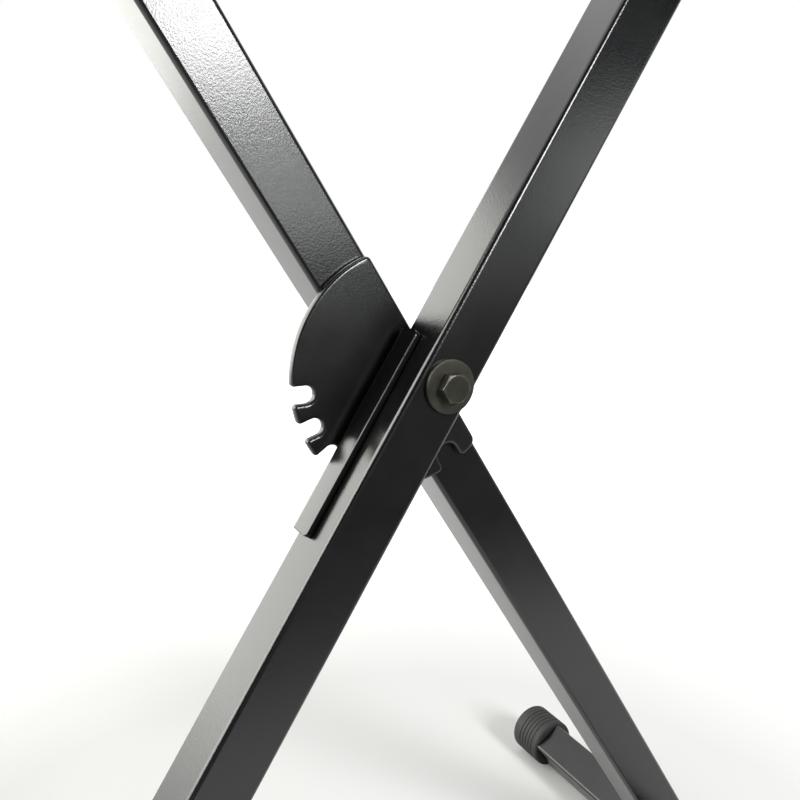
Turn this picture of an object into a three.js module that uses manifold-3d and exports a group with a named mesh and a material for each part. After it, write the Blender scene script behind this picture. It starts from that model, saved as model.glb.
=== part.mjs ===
// Folding keyboard stand: two square-tube legs that cross on one bolt. A notched plate on the rear
// leg and a sprung pin in the front leg hold the height. Millimetres, +Z up, +Y away from the player.
// The origin is on the floor, below the crossing of the legs and midway along the foot bars.

import * as THREE from "three";
import { mergeVertices } from "three/addons/utils/BufferGeometryUtils.js";
import Module from "manifold-3d";

const wasm = await Module();
wasm.setup();

// ---------------------------------------------------------------- driving dimensions

// Square tube
const TUBE_SIDE = 30;
const TUBE_WALL = 1.5;
const TUBE_CORNER = 2.6;

// Legs: they lean to both sides of the vertical, and cross a little to the left of the bolt
const LEG_LEAN = 32.85;
const LEG_REACH = 500; // from the crossing to the middle of a foot bar or an arm bar
const BOLT_OFFSET = 1.65; // from the crossing to the bolt, to the right
const LEG_GAP = 11.5; // between the back of the front leg and the front of the rear leg

// Cross bars, caps and sleeves
const FOOT_BAR_LENGTH = 420;
const ARM_BAR_LENGTH = 340;
const FOOT_CAP_RADIUS = 22;
const ARM_CAP_RADIUS = 24;
const CAP_GRIP = 26; // how far a cap reaches over its bar
const CAP_END = 9; // rubber beyond the end of the bar
const CAP_LIP = 6; // width of an arm cap's raised rim
const CAP_ROUND = 2.5;
const SLEEVE_RADIUS = 21;
const SLEEVE_LENGTH = 80;
const SLEEVE_ROUND = 2;
const SLEEVE_SETBACK = 34; // from the end of the arm bar to the sleeve
const GUSSET_LEG = 42;
const GUSSET_THICKNESS = 3;
const GUSSET_TIP = 5; // blunt ends of a gusset

// Height notches: one every NOTCH_PITCH of leg angle, so a flat of the rubber faces down at each
const RUBBER_FLATS = 42;
const NOTCH_PITCH = 720 / RUBBER_FLATS;
const NOTCH_COUNT = 4;
const NOTCH_RADIUS = 4.3;
const NOTCH_TILT = -5; // from the radius through its seat, so that load draws the pin in
const NOTCH_DEPTH = 6.9; // from the plate's rim in to the centre of a notch's round end
const TOOTH_ROUND = 1.8;
const PLATE_RADIUS = 62.5;
const PLATE_THICKNESS = 5;
const PLATE_EDGE = 1.5; // rounding of the plate's edges
const PLATE_INSET = 0.5; // from the rear leg's right side in to the plate's straight edge
const PLATE_CORNER = 3; // where the rim meets the plate's straight edge
const LOBE_STEP = 5; // from the plate's rim in to the two lobes that hold the folded stand
const LOBE_STEP_FROM = 228; // the rim steps down to the lobes between these two angles
const LOBE_STEP_TO = 236;
const STORAGE_RADIUS = 6.15;
const STORAGE_DEPTH = 6.4; // from the lobes' rim in to the centre of the storage notch's round end
const STORAGE_OFFSET = 0.9; // from the folded pin's place on to the storage notch, in degrees
const STORAGE_TILT = 4.8;
const LOBE_ROUND = 2.8; // tips of the lobes beside the storage notch
const LOBE_CORNER = 5; // where the lobes' rim meets the plate's straight edge
const FOLDED_GAP = 2; // between the arm caps when the stand is folded

// Saddle: a pressed channel round the back of the front leg, at the bolt and the lock
const SADDLE_THICKNESS = 3;
const SADDLE_BEND = 2; // inner bend radius
const SADDLE_ABOVE = 16.5; // above the bolt, along the leg
const SADDLE_BELOW = 91.5; // below the bolt, along the leg
const SADDLE_FLANGE = 15; // how far the flanges cover the tube's sides
const SADDLE_CORNER = 3; // rounding of the flanges' front corners

// Pivot fasteners
const BOLT_RADIUS = 4;
const BOLT_HEAD_FLATS = 13;
const BOLT_HEAD_HEIGHT = 5.3;
const BOLT_OVERHANG = 3; // shank beyond the nut
const BOLT_CHAMFER = 1; // on the end of the shank and on the nut's collar
const HEXAGON_EDGE = 0.3; // from a hexagon's flats in to its turned face
const WASHER_RADIUS = 12.7;
const WASHER_THICKNESS = 2;
const WASHER_EDGE = 0.4;
const SPACER_RADIUS = 11;
const NUT_HEIGHT = 6;
const NUT_COLLAR_RADIUS = 5.6;
const NUT_COLLAR_HEIGHT = 2.4;
const BUSH_WALL = 2.4;

// Lock: a pin on a bar inside the front leg, drawn to the bolt by a spring and pulled down by hand
const PIN_RADIUS = 3.5;
const PIN_HEAD_RADIUS = 5.5;
const PIN_HEAD_HEIGHT = 2;
const PIN_CHAMFER = 0.5;
const PIN_SEAT_GAP = 0.3;
const PIN_RIM_GAP = 0.8; // between the pulled pin and the plate's rim
const BAR_WIDTH = 16;
const BAR_THICKNESS = 6;
const BAR_DEPTH = 20; // from the tube's front face to the bar
const BAR_ABOVE_PIN = 16;
const BAR_BELOW_PIN = 125;
const GUIDE_LENGTH = 14;
const UPPER_GUIDE = 16.2; // from the pulled pin down to the middle of each guide
const LOWER_GUIDE = 113.2;
const SPRING_WIRE = 1.1;
const SPRING_RADIUS = 4.5;
const SPRING_COILS = 10;
const HOOK_HOLE_DROP = 3.7; // from the bar's top end to its spring hole
const HOOK_HOLE_RADIUS = 2.2;
const HOOK_RADIUS = 4.2;
const SPRING_TOP = 14; // from the bolt down to the first coil
const GRIP_TOP = 46.2; // from the pin down to the pull's top
const GRIP_LENGTH = 55;
const GRIP_BASE = 3.5;
const GRIP_LIP = 8.8; // how far the lip stands off the tube
const GRIP_LIP_WIDTH = 6;
const GRIP_SCOOP = 9; // length of the scoop below the lip
const GRIP_WIDTH = 15;
const GRIP_EDGE = 1.2;
const STEM_TOP = 61.2; // from the pin down to the stem that joins the pull to the bar
const STEM_LENGTH = 30;
const STEM_SLOT_CORNER = 1;
const SCREW_RADIUS = 1.7;
const SCREW_HEAD_RADIUS = 3.2;
const SCREW_HEAD_HEIGHT = 1.6;
const SCREW_HEAD_EDGE = 1;
const SCREW_LENGTH = 12; // depth of the hole that a screw fills but for its tip gap
const SCREW_TIP_GAP = 1;
const SCREW_DROPS = [68.2, 84.2]; // from the pin down to each screw

// Clearances
const SEAT_GAP = 0.15; // between faces that are bolted or pressed together
const FIT_GAP = 0.3; // round a piece that sits in, over or through another
const OVERRUN = 1; // how far a cutting tool, or a body to be joined, runs past the face it meets

// How finely curves are drawn
const CHORD_ERROR = 0.06;
const BORE_SEGMENTS = 24;
const ROUND_SEGMENTS = 40;
const EDGE_STEPS = 2;
const WIRE_SIDES = 5;
const STEPS_PER_COIL = 8;

// ---------------------------------------------------------------- places worked out from them

const rad = THREE.MathUtils.degToRad;
const lean = rad(LEG_LEAN);
const legCentreAcross = -BOLT_OFFSET * Math.cos(lean);
const legCentreAlong = BOLT_OFFSET * Math.sin(lean); // front leg: below the bolt, rear leg: above

const frontNear = 0; // depths, from the front leg's front face
const frontFar = TUBE_SIDE;
const rearNear = frontFar + LEG_GAP;
const rearFar = rearNear + TUBE_SIDE;
const midDepth = (frontNear + rearFar) / 2;
const webNear = frontFar + FIT_GAP;
const webFar = webNear + SADDLE_THICKNESS;
const plateFar = rearNear - FIT_GAP;
const plateNear = plateFar - PLATE_THICKNESS;

const boreRadius = BOLT_RADIUS + FIT_GAP;
const bushRadius = boreRadius + BUSH_WALL;
const pinSlotRadius = PIN_RADIUS + FIT_GAP;
const legSideRight = legCentreAcross + TUBE_SIDE / 2;
const insideHalf = TUBE_SIDE / 2 - TUBE_WALL;
const insideCorner = TUBE_CORNER - TUBE_WALL;
const barUp = LEG_REACH; // along the leg, from its crossing
const barEnd = TUBE_SIDE / 2 + SEAT_GAP;

const seatRadius = PLATE_RADIUS - NOTCH_DEPTH;
const lobeRadius = PLATE_RADIUS - LOBE_STEP;
const storageSeat = lobeRadius - STORAGE_DEPTH;

// Distances from the bolt down the front leg
const pinLocked = seatRadius - (NOTCH_RADIUS - PIN_RADIUS) + PIN_SEAT_GAP;
const pinPulled = PLATE_RADIUS + PIN_RADIUS + PIN_RIM_GAP;
const lockTravel = pinPulled - pinLocked;
const barMidDepth = BAR_DEPTH + BAR_THICKNESS / 2;
const stemTop = -pinPulled - STEM_TOP;
const screwHeights = SCREW_DROPS.map((drop) => -pinPulled - drop);

// Angles in the rear leg's own frame, from its right side, anticlockwise as the player sees it
const lockAngle = 270 - 2 * LEG_LEAN;
const foldedAngle = 2 * LEG_LEAN - 2 * THREE.MathUtils.radToDeg(Math.asin(
  (ARM_CAP_RADIUS + FOLDED_GAP / 2) / LEG_REACH));
const storageAngle = lockAngle + foldedAngle + STORAGE_OFFSET;
const pivotHeight = LEG_REACH * Math.cos(lean) + FOOT_CAP_RADIUS;

// ---------------------------------------------------------------- finishes

const powderCoat = { color: 0x17181a, roughness: 0.38, metalness: 0.0 };
const rubber = { color: 0x131313, roughness: 0.85, metalness: 0.0 };
const blackSteel = { color: 0x45463f, roughness: 0.5, metalness: 0.7 };
const brightSteel = { color: 0xa9abab, roughness: 0.3, metalness: 1.0 };
const blackPlastic = { color: 0x1b1b1c, roughness: 0.6, metalness: 0.0 };
const palePlastic = { color: 0xd8d6cc, roughness: 0.5, metalness: 0.0 };

// ---------------------------------------------------------------- solids and outlines

/** A closed geometry as a solid that can be cut and joined. */
function toSolid(geometry) {
  const bare = geometry.clone();
  bare.deleteAttribute("normal");
  bare.deleteAttribute("uv");
  const merged = mergeVertices(bare, 1e-4);
  return new wasm.Manifold(new wasm.Mesh({
    numProp: 3,
    vertProperties: Float32Array.from(merged.attributes.position.array),
    triVerts: Uint32Array.from(merged.index.array),
  }));
}

/** A solid as a geometry again. */
function toGeometry(solid) {
  const mesh = solid.getMesh();
  const geometry = new THREE.BufferGeometry();
  geometry.setAttribute("position", new THREE.BufferAttribute(mesh.vertProperties, 3));
  geometry.setIndex(new THREE.BufferAttribute(mesh.triVerts, 1));
  geometry.computeVertexNormals();
  return geometry;
}

/** The geometry with every tool cut out of it. */
function cut(geometry, ...tools) {
  return toGeometry(tools.reduce((solid, tool) => solid.subtract(toSolid(tool)), toSolid(geometry)));
}

/** The geometries joined into one. */
function join(geometry, ...others) {
  return toGeometry(others.reduce((solid, other) => solid.add(toSolid(other)), toSolid(geometry)));
}

/** Points of an arc, ends included, close enough together for its radius. Angles in degrees. */
function arc(x, y, radius, from, to) {
  const finest = 2 * Math.acos(1 - Math.min(CHORD_ERROR / radius, 0.2));
  const steps = Math.max(2, Math.ceil(Math.abs(rad(to - from)) / finest));
  return Array.from({ length: steps + 1 }, (_, i) => {
    const angle = rad(from + ((to - from) * i) / steps);
    return new THREE.Vector2(x + radius * Math.cos(angle), y + radius * Math.sin(angle));
  });
}

/** A rectangle with round corners, centred on x, y, as points. */
function roundedBox(x, y, width, height, corner) {
  const dx = width / 2 - corner;
  const dy = height / 2 - corner;
  return [[1, 1, 0], [-1, 1, 90], [-1, -1, 180], [1, -1, 270]].flatMap(
    ([sx, sy, from]) => arc(x + sx * dx, y + sy * dy, corner, from, from + 90));
}

/** A slot with round ends that runs up and down, as points. */
function slot(x, low, high, radius) {
  return [...arc(x, high, radius, 0, 180), ...arc(x, low, radius, 180, 360)];
}

/** An outline drawn across and along a leg, given depth from near to far. */
function throughDepth(points, near, far, edge = 0) {
  const geometry = new THREE.ExtrudeGeometry(new THREE.Shape(points), {
    depth: far - near - 2 * edge,
    bevelEnabled: edge > 0,
    bevelThickness: edge,
    bevelSize: edge,
    bevelOffset: -edge,
    bevelSegments: EDGE_STEPS,
  });
  geometry.rotateX(Math.PI / 2);
  geometry.translate(0, far - edge, 0);
  return geometry;
}

/** An outline drawn across and through a leg, run along it from low to high. */
function alongLeg(points, low, high) {
  const geometry = new THREE.ExtrudeGeometry(new THREE.Shape(points), {
    depth: high - low,
    bevelEnabled: false,
  });
  geometry.translate(0, 0, low);
  return geometry;
}

/** An outline drawn through the depth and along a leg, given width across it from left to right. */
function acrossLeg(points, left, right) {
  const geometry = new THREE.ExtrudeGeometry(new THREE.Shape(points), {
    depth: right - left,
    bevelEnabled: false,
  });
  geometry.applyMatrix4(new THREE.Matrix4().makeBasis(
    new THREE.Vector3(0, 1, 0), new THREE.Vector3(0, 0, 1), new THREE.Vector3(1, 0, 0)));
  geometry.translate(left, 0, 0);
  return geometry;
}

/** A round bar along the depth. */
function rod(radius, near, far, across = 0, along = 0, segments = BORE_SEGMENTS) {
  const geometry = new THREE.CylinderGeometry(radius, radius, far - near, segments);
  geometry.translate(across, (near + far) / 2, along);
  return geometry;
}

/** A profile of [radius, depth] points turned about the depth axis. */
function turned(profile, segments = ROUND_SEGMENTS, start = 0) {
  const points = profile.map(([radius, depth]) => new THREE.Vector2(radius, depth));
  return new THREE.LatheGeometry(points, segments, start);
}

/** A flat ring with softened outer edges. */
function ring(inner, outer, near, far, edge) {
  return turned([
    [inner, near], [outer - edge, near], [outer, near + edge],
    [outer, far - edge], [outer - edge, far], [inner, far], [inner, near],
  ]);
}

/** A hexagonal head or nut with the corners of one end turned down. */
function hexagon(flats, near, far, turnedEnd) {
  const corner = flats / Math.sqrt(3);
  const points = Array.from({ length: 6 }, (_, i) => new THREE.Vector2(
    corner * Math.cos(rad(60 * i)), corner * Math.sin(rad(60 * i))));
  const flat = flats / 2 - HEXAGON_EDGE;
  const wide = corner + OVERRUN;
  const drop = (wide - flat) * Math.tan(rad(30));
  const profile = turnedEnd === "near"
    ? [[0, near], [flat, near], [wide, near + drop], [wide, far], [0, far]]
    : [[0, near], [wide, near], [wide, far - drop], [flat, far], [0, far]];
  return toGeometry(toSolid(throughDepth(points, near, far)).intersect(toSolid(turned(profile))));
}

// ---------------------------------------------------------------- assembly helpers

/** A named mesh with its own material. */
function piece(name, geometry, finish) {
  const mesh = new THREE.Mesh(geometry, new THREE.MeshStandardMaterial(finish));
  mesh.name = name;
  return mesh;
}

// ---------------------------------------------------------------- leg pieces

/** Outer outline of the square tube, centred on x, y. */
function tubeOutside(x, y) {
  return roundedBox(x, y, TUBE_SIDE, TUBE_SIDE, TUBE_CORNER);
}

/** Inner outline of the square tube, less a clearance all round. */
function tubeInside(x, y, clearance = 0) {
  const side = 2 * (insideHalf - clearance);
  return roundedBox(x, y, side, side, insideCorner);
}

/** A leg tube between its foot bar and its arm bar, drilled for the bolt. */
function legTube(near, centreAlong) {
  const low = centreAlong - barUp + barEnd;
  const high = centreAlong + barUp - barEnd;
  const midTube = near + TUBE_SIDE / 2;
  return cut(
    alongLeg(tubeOutside(legCentreAcross, midTube), low, high),
    alongLeg(tubeInside(legCentreAcross, midTube), low - OVERRUN, high + OVERRUN),
    rod(boreRadius, near - OVERRUN, near + TUBE_SIDE + OVERRUN),
  );
}

/** A cross bar of the same tube, centred behind and in front of both legs. */
function crossBar(length, along) {
  const near = midDepth - length / 2;
  return cut(
    throughDepth(tubeOutside(legCentreAcross, along), near, near + length),
    throughDepth(tubeInside(legCentreAcross, along), near - OVERRUN, near + length + OVERRUN),
  );
}

/** A triangular gusset on the leg's face at legFace; towards is 1 or -1 in depth, up is 1 or -1. */
function gusset(legFace, towards, barAlong, up) {
  const y = legFace + towards * SEAT_GAP;
  const z = barAlong + up * barEnd;
  const points = [
    [0, 0], [GUSSET_LEG, 0], [GUSSET_LEG, GUSSET_TIP], [GUSSET_TIP, GUSSET_LEG], [0, GUSSET_LEG],
  ].map(([out, rise]) => new THREE.Vector2(y + towards * out, z + up * rise));
  if (towards * up < 0) points.reverse();
  const half = GUSSET_THICKNESS / 2;
  return acrossLeg(points, legCentreAcross - half, legCentreAcross + half);
}

/** A many-sided round body whose flats stand at radius, one of them level when the leg leans. */
function rubberBody(profile, legTurn) {
  const widen = 1 / Math.cos(Math.PI / RUBBER_FLATS);
  const wide = profile.map(([radius, depth]) => [radius * widen, depth]);
  const geometry = turned(wide, RUBBER_FLATS, Math.PI / RUBBER_FLATS);
  geometry.rotateY(-legTurn);
  return geometry;
}

/** A rubber cap over a bar's end at barTip; outwards is -1 at the player's end and 1 at the back. */
function endCap(bodyRadius, lipRadius, barTip, outwards, along, legTurn) {
  const mouth = -CAP_GRIP;
  const lipStart = CAP_END - CAP_LIP;
  const profile = [
    [0, mouth], [bodyRadius - CAP_ROUND, mouth], [bodyRadius, mouth + CAP_ROUND],
    [bodyRadius, lipStart - (lipRadius - bodyRadius)], [lipRadius, lipStart],
    [lipRadius, CAP_END - CAP_ROUND], [lipRadius - CAP_ROUND, CAP_END], [0, CAP_END],
  ].filter(([r, d], i, all) => i === 0 || r !== all[i - 1][0] || d !== all[i - 1][1]);
  const placed = profile.map(([radius, depth]) => [radius, outwards * depth]);
  if (outwards < 0) placed.reverse();
  const body = rubberBody(placed, legTurn);
  body.translate(legCentreAcross, barTip, along);
  const side = TUBE_SIDE + 2 * FIT_GAP;
  const socket = roundedBox(legCentreAcross, along, side, side, TUBE_CORNER);
  const inner = barTip + outwards * FIT_GAP;
  const open = barTip - outwards * (CAP_GRIP + OVERRUN);
  return cut(body, throughDepth(socket, Math.min(inner, open), Math.max(inner, open)));
}

/** A rubber sleeve round an arm bar, from near to near plus its length. */
function armSleeve(near, along, legTurn) {
  const far = near + SLEEVE_LENGTH;
  const body = rubberBody([
    [0, near], [SLEEVE_RADIUS - SLEEVE_ROUND, near], [SLEEVE_RADIUS, near + SLEEVE_ROUND],
    [SLEEVE_RADIUS, far - SLEEVE_ROUND], [SLEEVE_RADIUS - SLEEVE_ROUND, far], [0, far],
  ], legTurn);
  body.translate(legCentreAcross, 0, along);
  const side = TUBE_SIDE + 2 * FIT_GAP;
  const hole = roundedBox(legCentreAcross, along, side, side, TUBE_CORNER);
  return cut(body, throughDepth(hole, near - OVERRUN, far + OVERRUN));
}

/** Everything that both legs have: tube, bars, gussets, rubber and the bush that the bolt squeezes. */
function legPieces(name, near, centreAlong, legTurn, gussetFace, gussetTowards) {
  const footAlong = centreAlong - barUp;
  const armAlong = centreAlong + barUp;
  const footTips = [midDepth - FOOT_BAR_LENGTH / 2, midDepth + FOOT_BAR_LENGTH / 2];
  const armTips = [midDepth - ARM_BAR_LENGTH / 2, midDepth + ARM_BAR_LENGTH / 2];
  const sleeveStarts = [armTips[0] + SLEEVE_SETBACK, armTips[1] - SLEEVE_SETBACK - SLEEVE_LENGTH];
  const pieces = [
    piece(`${name}_foot_bar`, crossBar(FOOT_BAR_LENGTH, footAlong), powderCoat),
    piece(`${name}_arm_bar`, crossBar(ARM_BAR_LENGTH, armAlong), powderCoat),
    piece(`${name}_foot_gusset`, gusset(gussetFace, gussetTowards, footAlong, 1), powderCoat),
    piece(`${name}_arm_gusset`, gusset(gussetFace, gussetTowards, armAlong, -1), powderCoat),
    piece(`${name}_pivot_bush`, turned([
      [boreRadius, near + TUBE_WALL + FIT_GAP], [bushRadius, near + TUBE_WALL + FIT_GAP],
      [bushRadius, near + TUBE_SIDE - TUBE_WALL - FIT_GAP],
      [boreRadius, near + TUBE_SIDE - TUBE_WALL - FIT_GAP],
      [boreRadius, near + TUBE_WALL + FIT_GAP],
    ], BORE_SEGMENTS), brightSteel),
  ];
  ["front", "back"].forEach((end, i) => {
    const outwards = i === 0 ? -1 : 1;
    const footCap = endCap(FOOT_CAP_RADIUS, FOOT_CAP_RADIUS, footTips[i], outwards, footAlong, legTurn);
    const armCap = endCap(SLEEVE_RADIUS, ARM_CAP_RADIUS, armTips[i], outwards, armAlong, legTurn);
    pieces.push(
      piece(`${name}_foot_cap_${end}`, footCap, rubber),
      piece(`${name}_arm_cap_${end}`, armCap, rubber),
      piece(`${name}_arm_sleeve_${end}`, armSleeve(sleeveStarts[i], armAlong, legTurn), rubber),
    );
  });
  return pieces;
}

// ---------------------------------------------------------------- pivot and saddle

/** The pressed channel that saddles the front leg, with its bolt hole and pin slot. */
function saddle() {
  const inner = TUBE_SIDE / 2 + FIT_GAP;
  const outer = inner + SADDLE_THICKNESS;
  const outerBend = SADDLE_BEND + SADDLE_THICKNESS;
  const x = legCentreAcross;
  const edge = webFar - SADDLE_THICKNESS - SADDLE_FLANGE;
  const section = [
    new THREE.Vector2(x + inner, edge), new THREE.Vector2(x + outer, edge),
    ...arc(x + outer - outerBend, webFar - outerBend, outerBend, 0, 90),
    ...arc(x - outer + outerBend, webFar - outerBend, outerBend, 90, 180),
    new THREE.Vector2(x - outer, edge), new THREE.Vector2(x - inner, edge),
    ...arc(x - inner + SADDLE_BEND, webNear - SADDLE_BEND, SADDLE_BEND, 180, 90),
    ...arc(x + inner - SADDLE_BEND, webNear - SADDLE_BEND, SADDLE_BEND, 90, 0),
  ];
  const corner = (end, up) => {
    const middle = end - up * SADDLE_CORNER;
    return acrossLeg([
      new THREE.Vector2(edge - OVERRUN, end + up * OVERRUN),
      new THREE.Vector2(edge + SADDLE_CORNER, end + up * OVERRUN),
      ...arc(edge + SADDLE_CORNER, middle, SADDLE_CORNER, up * 90, up * 180),
      new THREE.Vector2(edge - OVERRUN, middle),
    ], x - outer - OVERRUN, x + outer + OVERRUN);
  };
  return cut(
    alongLeg(section, -SADDLE_BELOW, SADDLE_ABOVE),
    rod(boreRadius, webNear - OVERRUN, webFar + OVERRUN),
    pinSlot(webNear - OVERRUN, webFar + OVERRUN),
    corner(-SADDLE_BELOW, -1),
    corner(SADDLE_ABOVE, 1),
  );
}

/** The slot that the lock pin slides in, as a cutting tool. */
function pinSlot(near, far) {
  return throughDepth(slot(0, -pinPulled, -pinLocked, pinSlotRadius), near, far);
}

/** The bolt: hexagonal head, shank and a chamfered end. */
function pivotBolt() {
  const headFar = -SEAT_GAP - WASHER_THICKNESS - SEAT_GAP;
  const tip = rearFar + 2 * SEAT_GAP + WASHER_THICKNESS + NUT_HEIGHT + NUT_COLLAR_HEIGHT + BOLT_OVERHANG;
  const shank = turned([
    [0, headFar - OVERRUN], [BOLT_RADIUS, headFar - OVERRUN], [BOLT_RADIUS, tip - BOLT_CHAMFER],
    [BOLT_RADIUS - BOLT_CHAMFER, tip], [0, tip],
  ], BORE_SEGMENTS);
  return join(hexagon(BOLT_HEAD_FLATS, headFar - BOLT_HEAD_HEIGHT, headFar, "near"), shank);
}

/** The lock nut: a hexagon with a round collar behind it. */
function lockNut() {
  const near = rearFar + 2 * SEAT_GAP + WASHER_THICKNESS;
  const far = near + NUT_HEIGHT;
  const end = far + NUT_COLLAR_HEIGHT;
  const collar = turned([
    [0, far - OVERRUN], [NUT_COLLAR_RADIUS, far - OVERRUN], [NUT_COLLAR_RADIUS, end - BOLT_CHAMFER],
    [NUT_COLLAR_RADIUS - BOLT_CHAMFER, end], [0, end],
  ], BORE_SEGMENTS);
  const body = join(hexagon(BOLT_HEAD_FLATS, near, far, "far"), collar);
  return cut(body, rod(BOLT_RADIUS + SEAT_GAP, near - OVERRUN, end + OVERRUN));
}

// ---------------------------------------------------------------- notched plate

/** Points of one notch in a rim, from its first rounded tooth tip to its second. */
function notch(rim, seatRadius, seatAngle, radius, tilt, tipRound) {
  const out = rad(seatAngle + tilt);
  const direction = new THREE.Vector2(Math.cos(out), Math.sin(out));
  const side = new THREE.Vector2(-direction.y, direction.x);
  const seat = new THREE.Vector2(Math.cos(rad(seatAngle)), Math.sin(rad(seatAngle)))
    .multiplyScalar(seatRadius);
  const tip = (sign) => {
    const start = seat.clone().addScaledVector(side, sign * (radius + tipRound));
    const along = start.dot(direction);
    const reach = -along + Math.sqrt(along * along - start.lengthSq() + (rim - tipRound) ** 2);
    const centre = start.addScaledVector(direction, reach);
    const rimAngle = THREE.MathUtils.radToDeg(centre.angle());
    const sideAngle = seatAngle + tilt - sign * 90;
    return { centre, rimAngle, sideAngle };
  };
  const first = tip(-1);
  const second = tip(1);
  const facing = seatAngle + tilt;
  return [
    ...arc(first.centre.x, first.centre.y, tipRound, first.rimAngle, first.sideAngle),
    ...arc(seat.x, seat.y, radius, facing + 270, facing + 90),
    ...arc(second.centre.x, second.centre.y, tipRound, second.sideAngle, second.rimAngle),
  ];
}

/** Angle at which a rim meets the plate's straight edge, with the centre of the rounded corner. */
function plateCorner(rim, round, edgeAcross, up) {
  const x = edgeAcross - round;
  const y = up * Math.sqrt((rim - round) ** 2 - x * x);
  return { x, y, angle: THREE.MathUtils.radToDeg(Math.atan2(y, x)) };
}

/** The notched sector plate, in the rear leg's frame with the bolt at 0, 0. */
function notchPlate() {
  const edgeAcross = legSideRight - PLATE_INSET;
  const top = plateCorner(PLATE_RADIUS, PLATE_CORNER, edgeAcross, 1);
  const bottom = plateCorner(lobeRadius, LOBE_CORNER, edgeAcross, -1);
  const rimArc = (radius, from, to) => arc(0, 0, radius, from, to).slice(1, -1);
  const angleOf = (point) => (THREE.MathUtils.radToDeg(point.angle()) + 360) % 360;
  const points = [...arc(top.x, top.y, PLATE_CORNER, 0, top.angle)];
  let reached = top.angle;
  for (let i = NOTCH_COUNT - 1; i >= 0; i -= 1) {
    const cutout = notch(PLATE_RADIUS, seatRadius, lockAngle - i * NOTCH_PITCH,
      NOTCH_RADIUS, NOTCH_TILT, TOOTH_ROUND);
    points.push(...rimArc(PLATE_RADIUS, reached, angleOf(cutout[0])), ...cutout);
    reached = angleOf(cutout[cutout.length - 1]);
  }
  const storage = notch(lobeRadius, storageSeat, storageAngle,
    STORAGE_RADIUS, STORAGE_TILT, LOBE_ROUND);
  points.push(
    ...arc(0, 0, PLATE_RADIUS, reached, LOBE_STEP_FROM).slice(1),
    ...arc(0, 0, lobeRadius, LOBE_STEP_TO, angleOf(storage[0])).slice(0, -1),
    ...storage,
    ...rimArc(lobeRadius, angleOf(storage[storage.length - 1]), bottom.angle + 360),
    ...arc(bottom.x, bottom.y, LOBE_CORNER, bottom.angle, 0),
  );
  return cut(
    throughDepth(points, plateNear, plateFar, PLATE_EDGE),
    rod(boreRadius, plateNear - OVERRUN, plateFar + OVERRUN),
  );
}

// ---------------------------------------------------------------- lock

/** The flat bar inside the front leg that carries the pin and the pull. */
function lockBar() {
  const far = BAR_DEPTH + BAR_THICKNESS;
  const top = -pinPulled + BAR_ABOVE_PIN;
  const bottom = -pinPulled - BAR_BELOW_PIN;
  const outline = roundedBox(0, (top + bottom) / 2, BAR_WIDTH, top - bottom, TUBE_CORNER);
  const bores = screwHeights.map((height) => {
    const bore = new THREE.CylinderGeometry(SCREW_RADIUS + FIT_GAP, SCREW_RADIUS + FIT_GAP,
      SCREW_LENGTH, BORE_SEGMENTS / 2);
    bore.rotateZ(Math.PI / 2);
    bore.translate(BAR_WIDTH / 2, barMidDepth, height);
    return bore;
  });
  return cut(
    throughDepth(outline, BAR_DEPTH, far),
    rod(pinSlotRadius, BAR_DEPTH - OVERRUN, far + OVERRUN, 0, -pinPulled),
    rod(HOOK_HOLE_RADIUS, BAR_DEPTH - OVERRUN, far + OVERRUN, 0, top - HOOK_HOLE_DROP, BORE_SEGMENTS / 2),
    ...bores,
  );
}

/** The lock pin: a headed pin through the bar, the leg's back wall, the saddle and the notch. */
function lockPin() {
  const near = BAR_DEPTH - SEAT_GAP - PIN_HEAD_HEIGHT;
  const tip = plateFar;
  const geometry = turned([
    [0, near], [PIN_HEAD_RADIUS, near], [PIN_HEAD_RADIUS, near + PIN_HEAD_HEIGHT],
    [PIN_RADIUS, near + PIN_HEAD_HEIGHT], [PIN_RADIUS, tip - PIN_CHAMFER],
    [PIN_RADIUS - PIN_CHAMFER, tip], [0, tip],
  ], BORE_SEGMENTS);
  geometry.translate(0, 0, -pinPulled);
  return geometry;
}

/** A guide block that fits inside the leg and lets the lock bar slide through it. */
function lockGuide(drop) {
  const low = -pinPulled - drop - GUIDE_LENGTH / 2;
  const high = low + GUIDE_LENGTH;
  const window = roundedBox(0, barMidDepth, BAR_WIDTH + 2 * FIT_GAP, BAR_THICKNESS + 2 * FIT_GAP, FIT_GAP);
  return cut(
    alongLeg(tubeInside(legCentreAcross, frontFar / 2, FIT_GAP), low, high),
    alongLeg(window, low - OVERRUN, high + OVERRUN),
  );
}

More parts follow.
